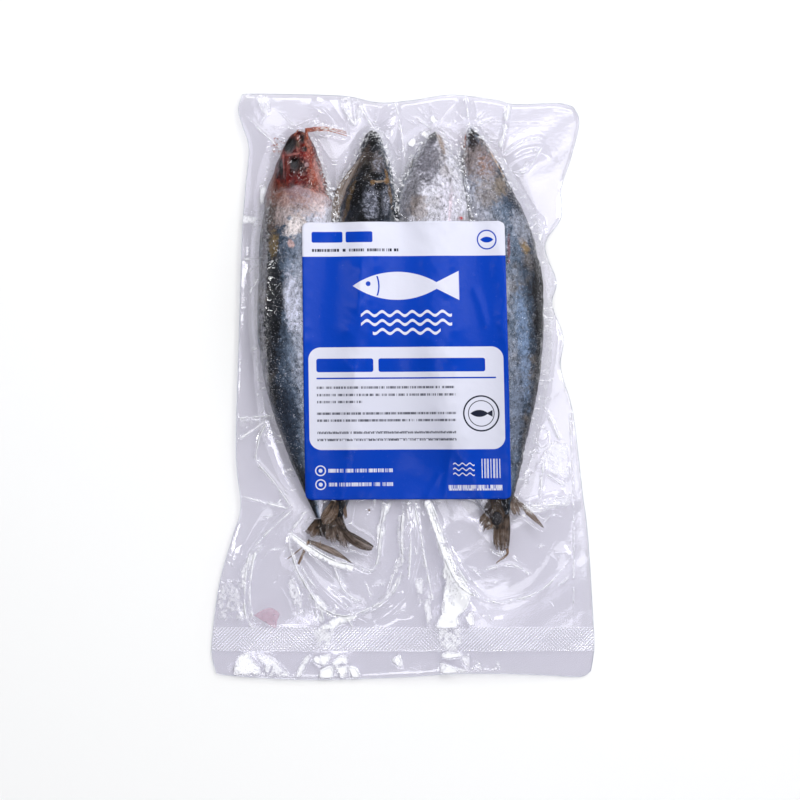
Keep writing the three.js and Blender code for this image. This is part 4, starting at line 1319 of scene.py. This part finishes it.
def film_sheet(name, field, across, along, facing, finish):
    """One side's film over the pouch's plan."""
    plan = plan_grid(across, along)
    x, y = plan[..., 0], plan[..., 1]
    points = np.dstack([plan, read_height(field, x, y)]).reshape(-1, 3)
    faces = as_quads(along + 1, across + 1, False)
    upper = facing > 0
    lines = crease_lines(x, y) if upper else (9 + 0 * x, 0 * x)
    held = np.maximum(read_height(under_label * 1.0, x, y), read_height(cling, x, y) * 0.85)
    values = [("crease_far", lines[0]), ("crease_high", lines[1] * (1 - held))]
    for key, field_of in (("frost", frost), ("cling", cling), ("stretched", stretched)):
        values.append((key, read_height(field_of * upper, x, y)))
    return make_piece(name, points, faces[:, ::facing].tolist(), finish, "pouch", values)


# The weld across the foot is pressed with a pattern of small diamonds, and the strip below it is flat.
# Every crease has a sharp crest with a painted highlight on it as a white line, and a paler painted
# highlight on a flank to one side. The film bends light by this much, and one sheet takes so little out
# of what is seen through it.
WELD_LOW, WELD_HIGH = -137, -124.8
WELD_PITCH = 1.32
CREST_HALF = 0.9
LINE_HALF = 0.55
FLANK_WIDE = 2.2
FILM_BEND = 1.45
FILM_TINT = (0.938, 0.932, 0.966, 1)
MIRROR_TINT = (0.955, 0.96, 1, 1)


def film_finish():
    """Clear film with a mirror skin, whitened on its weld and where frost lies under it, with painted
    highlights along its creases and on its facets.
    """
    film = Finish("clear_film")
    x, y = film.place_on("X"), film.place_on("Y")
    far, high = film.named("crease_far"), film.named("crease_high")
    frost, cling, white = film.named("frost"), film.named("cling"), film.named("stretched")
    broken = film.noise(5, 3, 0.6)
    crest = film.between(far.size(), CREST_HALF, 0.0) * high * (film.between(broken, 0.35, 0.62) * 0.85 + 0.2)
    weld = film.between(y, WELD_LOW - 0.3, WELD_LOW + 0.3) * film.between(y, WELD_HIGH + 0.3, WELD_HIGH - 0.3)
    turn = math.pi / (WELD_PITCH * math.sqrt(2))
    rising, falling = ((x + y) * turn).wave().size(), ((x - y) * turn).wave().size()
    leaning = film.between(film.noise(17, 2), 0.44, 0.56)
    pressed = film.between(rising, 0.6, 0.2) * (leaning * 0.8 + 0.3)
    pressed = pressed + film.between(falling, 0.6, 0.2) * (1.1 - leaning * 0.8)
    pressed = pressed * (film.between(film.noise(24, 3), 0.3, 0.7) * 0.3 + 0.7)
    wrinkle = film.noise(8, 2, 0.5)
    crinkle = film.noise(1.6, 3, 0.6)
    normal = film.bump(wrinkle, 0.07, film.bump(crinkle, 0.03))
    normal = film.bump(crest, 1.0, film.bump(rising * falling * weld, 0.14, normal))
    crumbs = film.between(film.noise(1.5, 5, 0.8), 0.47, 0.62)
    # Each crease's white core and paler flank: painted highlights.
    core = film.between(far.size() / (film.between(broken, 0.3, 0.7) * 1.3 + 0.35), LINE_HALF, 0.05)
    flank = film.between(far, FLANK_WIDE, 0.2) * film.between(far, -0.1, 0.3)
    flank = flank * film.between(broken, 0.42, 0.62)
    line = (core * 0.8 + flank * 0.45) * film.between(high, 0.03, 0.6)
    line = line * (film.between(broken, 0.34, 0.58) * 0.8 + 0.2)
    # White patches on the facets and beside the last fish: painted highlights, broken up by noise.
    glints = film.between(film.noise(5, 4, 0.65, (1, 1.5, 1), 0.8), 0.36, 0.5)
    mottled = (white * 1.75 + glints - 1 - crumbs * 0.42).most(0).least(1)
    # The white share: the weld's whitening and the frost, with the painted highlights.
    haze_and_highlight = (line + pressed * weld * 0.36 + crumbs * frost * 0.9 + mottled).least(1)
    clear = film.node("ShaderNodeBsdfTransparent", {}, {"Color": FILM_TINT})
    values = {"Base Color": MIRROR_TINT, "Metallic": (1 - haze_and_highlight * 2.5).most(0), "Roughness": 0.07,
              "Normal": normal}
    shine = film.node("ShaderNodeBsdfPrincipled", {}, values)
    from_behind = film.node("ShaderNodeNewGeometry", output="Backfacing")
    bend = FILM_BEND - from_behind * (FILM_BEND - 1 / FILM_BEND)
    glance = film.node("ShaderNodeFresnel", {}, {"IOR": bend})
    share = (0.05 + glance * 0.9) * (1 - cling * 0.95) + haze_and_highlight * 0.85
    return film.ended(film.node("ShaderNodeMixShader", {}, {0: share.least(0.95), 1: clear, 2: shine}))


clear_film = film_finish()
FRONT_CELLS = (236, 380)
BACK_CELLS = (118, 190)
film_sheet("film_front", film_top, *FRONT_CELLS, 1, clear_film)
film_sheet("film_back", film_under, *BACK_CELLS, -1, clear_film)

# The pouch's cut edge: two webs of film welded into one and trimmed, which show as one bright line,
# painted into the strand's pale colour as a painted highlight. It is a fine four-sided strand that runs
# once round the rim, halfway between the webs.
EDGE_WIDE = 0.55
edge_look = mottled_finish("cut_edge", (3,), (0.3, paint(214, 216, 228)), (0.7, paint(240, 241, 248)),
                           0.25, 0.2, 0.75)
grid_rim = plan_grid(*FRONT_CELLS)
loop = np.concatenate([grid_rim[0, :-1], grid_rim[:-1, -1], grid_rim[-1, :0:-1], grid_rim[:0:-1, 0]])
loop_heights = [read_height(field, loop[:, 0], loop[:, 1]) / 2 for field in (film_top, film_under)]
edge_path = np.column_stack([loop, sum(loop_heights)])
edge_ahead = np.roll(edge_path, -1, 0) - np.roll(edge_path, 1, 0)
edge_aside = np.stack([edge_ahead[:, 1], -edge_ahead[:, 0], 0 * edge_ahead[:, 0]], -1)
edge_aside /= np.linalg.norm(edge_aside, axis=1, keepdims=True)
corners = [(-0.5, 0), (0, 0.35), (0.3, 0), (0, -0.35)]
edge_rings = np.stack([edge_path + EDGE_WIDE * (a * edge_aside + np.array([0, 0, b])) for a, b in corners], 1)
edge_points = np.concatenate([edge_rings, edge_rings[:1]]).reshape(-1, 3)
edge_faces = as_quads(len(edge_rings) + 1, len(corners), True)
make_piece("film_edge", edge_points, edge_faces.tolist(), edge_look, "pouch")

# Beads of thawed ice and trapped air in the hollows between the heads and along the fish's edges.
# Each is a tiny flattened drop, held against the inner side of the front film.
BEADS = 320
BEAD_FLATNESS = 0.55
BEAD_SUNK = 0.55
bead_draw = np.random.default_rng(21)


def bead(place, radius):
    """One small flattened drop."""
    fall = np.linspace(0.05, 0.95, 5)[:, None] * math.pi
    angle = np.linspace(0, 2 * math.pi, 8, endpoint=False)[None]
    high = BEAD_FLATNESS * np.cos(fall) + 0 * angle
    shape = np.stack([np.sin(fall) * np.cos(angle), np.sin(fall) * np.sin(angle), high], -1)
    return (place + radius * shape).reshape(-1, 3), as_quads(5, 8, True)


beads = []
while len(beads) < BEADS:
    number = int(bead_draw.integers(0, 4))
    side = bead_draw.choice([-1, 1])
    fish = FISH[number]
    top = number in (1, 2) or (number, side) in ((0, 1), (3, -1))
    y = bead_draw.uniform(86, 128) if top else bead_draw.uniform(-50, 128)
    x = middle_of(fish, y) + side * (half_width_of(fish, y) - abs(bead_draw.normal(0, 2.0)) + 0.6)
    height = float(read_height(film_top, np.array([x]), np.array([y]))[0])
    beads.append(bead(np.array([x, y, height - BEAD_SUNK]), bead_draw.uniform(0.1, 0.3)))
drop_look = mottled_finish("ice_bead", (0.8, 2), (0.3, paint(200, 202, 212)), (0.7, paint(244, 245, 250)),
                           0.08, 0.15, 0.45)
bead_points, bead_faces, _ = gather(beads)
make_piece("ice_beads", bead_points, bead_faces.tolist(), drop_look, "pouch")

# A thin pink stain of juice has run into the foot of the pouch, between the two webs. It is one thin
# sheet that lies just under the front film and follows its folds.
STAIN_OUTLINE = [
    (-77.4, -118.4), (-72.5, -115.4), (-68, -114.6), (-64.2, -117.6), (-65.2, -121), (-66.2, -125),
    (-70.5, -122.6),
]
stain_curve = curve_through([*STAIN_OUTLINE, STAIN_OUTLINE[0]], 60)[:-1]
stain_middle = stain_curve.mean(0)
stain_rings = np.stack([stain_middle + (stain_curve - stain_middle) * s for s in (0.02, 0.35, 0.7, 1)])
stain_height = read_height(film_top, stain_rings[..., 0], stain_rings[..., 1]) - 0.35
juice_look = mottled_finish("thin_juice", (2.5, 3), (0.3, paint(206, 158, 172)), (0.7, paint(222, 182, 194)),
                            0.2, 0.1, 0.42)
stain_points = np.dstack([stain_rings, stain_height]).reshape(-1, 3)
stain_faces = as_quads(len(stain_rings), len(stain_curve), True)
make_piece("juice_stain", stain_points, stain_faces.tolist(), juice_look, "pouch")

# The label: a glossy paper sticker stuck on the front film, printed blue and white, following the
# swell of the fish under it. Its print is bars, a plain fish, waves and small marks.
LABEL_WIDE, LABEL_TALL = 105.5, 143.6
LABEL_ROUND = 3
LABEL_GAP = 0.28
LABEL_THICK = 0.14
LABEL_CELLS = (104, 142)
LABEL_FOLDS = [
    ([(22, -58), (24, -38), (27, -28)], 0.7, 4), ([(12, -58), (20, -44)], 0.5, 3),
    ([(36, 52), (40, 42), (43, 30)], 0.6, 4), ([(50, 34), (53, 22)], 0.5, 3),
]
PRINT_BLUE = paint(6, 60, 174)
PRINT_WHITE = paint(211, 212, 227)
PRINT_INK = paint(30, 34, 52)
# The pale violet of the label's painted sheen.
SHEEN_TINT = paint(150, 156, 214)


def label_sheet():
    """The sticker as a thin closed slab over the film, and its points' places on the printed sheet."""
    across, along = LABEL_CELLS
    u, v = np.meshgrid(np.linspace(0, 1, across + 1), np.linspace(0, 1, along + 1))
    round_x, round_y = LABEL_ROUND / LABEL_WIDE, LABEL_ROUND / LABEL_TALL
    away = np.maximum(0, np.abs(v - 0.5) - 0.5 + round_y) / round_y
    pull = (1 - np.sqrt(np.maximum(0, 1 - away**2))) * round_x
    u = 0.5 + (u - 0.5) * (1 - 2 * pull)
    low_left, low_right, high_right, high_left = np.array(LABEL_CORNERS, float)
    low = low_left + (low_right - low_left) * u[..., None]
    high = high_left + (high_right - high_left) * u[..., None]
    plan = low + (high - low) * v[..., None]
    lift = np.zeros(grid_x.shape)
    for places, height, reach in LABEL_FOLDS:
        raise_crease(lift, grid_x, grid_y, places, height, reach)
    height = read_height(label_top + lift, plan[..., 0], plan[..., 1]) + LABEL_GAP
    points, faces = leaf(plan, height + LABEL_THICK / 2, LABEL_THICK + 0 * height)
    printed = [("print_x", np.tile(u.ravel(), 2) * LABEL_WIDE),
               ("print_y", np.tile(v.ravel(), 2) * LABEL_TALL)]
    return points, faces, printed


class Print:
    """Shapes of ink on the sheet, in its own millimetres, each a wire that is 1 inside it and 0 outside."""

    def __init__(self, finish):
        self.finish = finish
        self.x, self.y = finish.named("print_x"), finish.named("print_y")

    def cut(self, far, soft=0.09):
        return self.finish.between(far, soft, -soft)

    def block(self, low_x, high_x, low_y, high_y, rounding=0.4):
        """A rounded rectangle."""
        across = (self.x - (low_x + high_x) / 2).size() - (high_x - low_x) / 2 + rounding
        along = (self.y - (low_y + high_y) / 2).size() - (high_y - low_y) / 2 + rounding
        out = across.most(0) ** 2 + along.most(0) ** 2
        return self.cut(out**0.5 + across.most(along).least(0) - rounding)

    def away(self, x, y):
        """How far a place on the sheet is from this one."""
        return ((self.x - x) ** 2 + (self.y - y) ** 2) ** 0.5

    def column(self, low_x, high_x, soft):
        """Everything between two places across the sheet."""
        from_left = self.finish.between(self.x, low_x - soft, low_x + soft)
        return from_left * self.finish.between(self.x, high_x + soft, high_x - soft)

    def disc(self, x, y, radius):
        return self.cut(self.away(x, y) - radius)

    def ring(self, x, y, radius, half):
        return self.cut((self.away(x, y) - radius).size() - half)

    def lens(self, x, y, long, deep):
        """A shape pointed at both ends, where two discs cross."""
        bow = (long**2 - deep**2) / (2 * deep)
        above = self.away(x, y - bow) - (bow + deep)
        below = self.away(x, y + bow) - (bow + deep)
        return self.cut(above.most(below))

    def wedge(self, x, y, long, deep):
        """A triangle from its point at x, y, opening to the right for a positive length."""
        along = (self.x - x) / long
        return self.cut((self.y - y).size() - along * deep) * self.finish.between(along, 1.02, 0.98)

    def ripple(self, low_x, high_x, y, tall, pitch, half):
        """A wavy stroke."""
        crest = (self.x * (2 * math.pi / pitch)).wave() * tall
        return self.cut((self.y - y - crest).size() - half) * self.column(low_x, high_x, 0.05)

    def rows(self, low_x, high_x, lines, half, seed):
        """Rows of short dashes with gaps."""
        strokes = [self.cut((self.y - line).size() - half) for line in lines]
        found = strokes[0]
        for stroke in strokes[1:]:
            found = found.most(stroke)
        row = (self.y * 0.27).whole() + seed
        where = self.finish.node("ShaderNodeCombineXYZ", {}, {0: self.x, 1: row})
        gaps = self.finish.node("ShaderNodeTexNoise", {}, {"Vector": where, "Scale": 0.62, "Detail": 1})
        fine = self.finish.node("ShaderNodeTexNoise", {}, {"Vector": where, "Scale": 2.6, "Detail": 1})
        dashes = self.finish.between(gaps, 0.34, 0.4) * self.finish.between(fine, 0.36, 0.52)
        return found * self.column(low_x, high_x, 0.1) * dashes


def label_finish():
    """The sticker's print with soft patches of painted sheen, and its soft gloss with the fine dimples of
    paper on film.
    """
    paper = Finish("printed_label")
    ink = Print(paper)
    colour = paper.blend(ink.block(-5, 112, 125.8, 150, 0), PRINT_BLUE, PRINT_WHITE)
    panel = ink.block(2.6, 103, 26, 79, 6.2)
    colour = paper.blend(panel, colour, PRINT_WHITE)
    # The field's picture: a plain fish over three rows of waves.
    fish = ink.lens(49, 110.5, 23, 7.2).most(ink.wedge(66, 110.5, 15, 7.5))
    gill = ink.ring(25, 110.5, 14.5, 0.4) * ink.block(37, 42, 105.5, 115.5, 0)
    fish = fish * (1 - ink.disc(34, 111.6, 1.25)) * (1 - gill)
    colour = paper.blend(fish, colour, PRINT_WHITE)
    for low_x, high_x, y in ((36, 71, 87), (30, 77, 91.6), (30, 77, 96.2)):
        colour = paper.blend(ink.ripple(low_x, high_x, y, 1.1, 7.8, 0.75), colour, PRINT_WHITE)
    # The head band: two bold bars, a line of dashes, and a ring with a plain leaf in the corner.
    for bar in ((4.9, 21, 133, 138.6, 0.9), (22.6, 36.6, 133, 138.6, 0.9)):
        colour = paper.blend(ink.block(*bar), colour, PRINT_BLUE)
    colour = paper.blend(ink.rows(4.9, 50, (129,), 0.75, 3), colour, PRINT_INK)
    badge = ink.ring(96, 134, 4.8, 0.35).most(ink.lens(96, 134, 3.4, 1.5))
    colour = paper.blend(badge, colour, PRINT_BLUE)
    # The panel: a title bar in two parts, a rule, three blocks of small lines, and a fish on a plate.
    for bar in ((6.6, 36, 66.2, 73.2, 1.2), (38.6, 93.6, 66.2, 73.2, 1.2), (6.6, 99, 62.6, 63.4, 0.3)):
        colour = paper.blend(ink.block(*bar), colour, PRINT_BLUE)
    rows = ink.rows(6.6, 78, (58.2, 54.4, 44.8, 41.2, 34.9, 31.2), 0.62, 1)
    rows = rows.most(ink.rows(6.6, 30, (50.8,), 0.62, 2))
    colour = paper.blend(rows * 0.85, colour, PRINT_INK)
    plate = ink.ring(91, 44.5, 9, 0.4).most(ink.ring(91, 44.5, 6.6, 0.22))
    plate = plate.most(ink.lens(90, 44.5, 4.6, 1.8)).most(ink.wedge(93.6, 44.5, 3.2, 1.8))
    colour = paper.blend(plate, colour, PRINT_INK)
    # The foot: two ring marks with a line of dashes each, a wave mark, a patch of stripes, a short line.
    marks = ink.rows(12, 45, (15.2, 8), 0.95, 5).most(ink.rows(73.5, 101, (6,), 1.4, 6))
    for y in (15.2, 8):
        marks = marks.most(ink.ring(8, y, 2.5, 0.3)).most(ink.disc(8, y, 1))
    for y in (13, 15.6, 18.2):
        marks = marks.most(ink.ripple(76, 87, y, 0.6, 3.8, 0.32))
    stripes = paper.between((ink.x * 4.1).wave() + (ink.x * 9.7).wave() * 0.8, 0.1, 0.35)
    stripes = stripes * ink.block(90.5, 100.5, 11, 21, 0.3)
    colour = paper.blend(marks.most(stripes), colour, PRINT_WHITE)
    dimple = paper.noise(1.1, 3)
    swell = paper.noise(16, 3)
    # Soft pale violet patches over the print: painted sheen.
    painted_sheen = paper.between(paper.noise(3.5, 5, 0.7), 0.62, 0.8) * 0.16
    colour = paper.blend(painted_sheen, colour, SHEEN_TINT)
    normal = paper.bump(swell, 0.4, paper.bump(dimple, 0.05))
    rough = 0.24 + (dimple - 0.5) * 0.1
    return paper.skin({"Base Color": colour, "Roughness": rough, "Specular IOR Level": 0.12,
                       "Normal": normal})


label_points, label_faces, printed = label_sheet()
make_piece("label_sheet", label_points, label_faces.tolist(), label_finish(), "label", printed)

# The table: a plain white top under the pack, in metres, with a hint of grain. It belongs to the
# studio, so it is staged and isn't a piece of the pack.
FLOOR_HALF = 4.0
floor_mesh = bpy.data.meshes.new("floor")
floor_corners = [(FLOOR_HALF * x, FLOOR_HALF * y, 0) for x, y in ((-1, -1), (1, -1), (1, 1), (-1, 1))]
floor_mesh.from_pydata(floor_corners, [], [(0, 1, 2, 3)])
table = Finish("white_table")
table_grain = table.bump(table.noise(2), 0.02)
table_look = table.skin({"Base Color": (0.9, 0.9, 0.9, 1), "Roughness": 0.8, "Normal": table_grain})
floor_mesh.materials.append(table_look)
floor = bpy.data.objects.new("floor", floor_mesh)
bpy.context.scene.collection.objects.link(floor)

# Studio light, in metres: a large fill and a softer one from the upper right light the fish, the label
# and the white ground, and aren't mirrored. Dim panels overhead give flat film its pale sheen, and
# narrow bright boxes and windows on all four sides draw its creases.


def lamp(name, lean_x, lean_y, far, wide, tall, radiance, shown):
    """An area lamp leaning so many degrees off overhead; shown says whether gloss mirrors it."""
    light = bpy.data.lights.new(name, "AREA")
    light.shape, light.size, light.size_y = "RECTANGLE", wide, tall
    light.energy = math.pi * wide * tall * radiance
    made = bpy.data.objects.new(name, light)
    toward = Vector((math.tan(math.radians(lean_x)), math.tan(math.radians(lean_y)), 1)).normalized()
    made.location = toward * far
    made.rotation_euler = (-toward).to_track_quat("-Z", "Y").to_euler()
    made.visible_camera = False
    made.visible_glossy = shown
    bpy.context.scene.collection.objects.link(made)


lamp("fill", 2, 0, 1.6, 1.5, 1.5, 0.74, False)
lamp("side_fill", 22, 36, 1.3, 0.6, 0.6, 5.9, False)
lamp("overhead_panel", 12, 5, 1.2, 0.42, 0.56, 2.2, True)
lamp("head_panel", 4, 16, 1.2, 0.3, 0.22, 0.8, True)
lamp("right_box", 38, 8, 1.2, 0.06, 0.9, 11, True)
lamp("left_box", -46, 8, 1.2, 0.06, 0.8, 11, True)
lamp("foot_box", 0, -44, 1.2, 0.8, 0.06, 11, True)
lamp("head_box", 8, 50, 1.2, 0.7, 0.06, 11, True)
lamp("foot_window", -3, -24, 1.37, 0.4, 0.18, 5, True)
lamp("head_window", 3, 24, 1.37, 0.5, 0.18, 4, True)

# The studio's walls: pale at the level of the table, dark straight above, brighter to the upper right.
# The film mirrors them where it is seen at a low angle.
world = bpy.data.worlds.new("studio")
bpy.context.scene.world = world
world.use_nodes = True
world.node_tree.nodes.clear()


class Sky(Finish):
    """The walls, built node by node like a finish."""

    def __init__(self):
        self.tree = world.node_tree


WALL_COLOUR = (0.93, 0.95, 1, 1)
sky = Sky()
way = sky.node("ShaderNodeTexCoord", output="Generated")
across, along, up = (sky.node("ShaderNodeSeparateXYZ", {}, {0: way}, axis) for axis in "XYZ")
low_down = sky.between(up, 0.8, 0.5)
upper_right = (across * 0.35 + along * 0.25 + 0.5).most(0.15)
output = world.node_tree.nodes.new("ShaderNodeOutputWorld")
background = sky.node("ShaderNodeBackground", {}, {"Color": WALL_COLOUR, "Strength": low_down * upper_right})
world.node_tree.links.new(background.socket, output.inputs["Surface"])

# The camera looks straight down on the middle of the picture from 2.4 metres. The frame's width is
# what it takes in at the table.
CAMERA_PLACE = (-0.00156, -0.00676, 2.4)
FRAME_WIDE = 0.416
SENSOR_WIDE = 36
camera_data = bpy.data.cameras.new("camera")
camera_data.sensor_width = SENSOR_WIDE
camera_data.lens = SENSOR_WIDE * CAMERA_PLACE[2] / FRAME_WIDE
camera_data.clip_end = 20
camera = bpy.data.objects.new("camera", camera_data)
camera.location = CAMERA_PLACE
bpy.context.scene.collection.objects.link(camera)
bpy.context.scene.camera = camera
bpy.context.scene.view_settings.view_transform = "Standard"
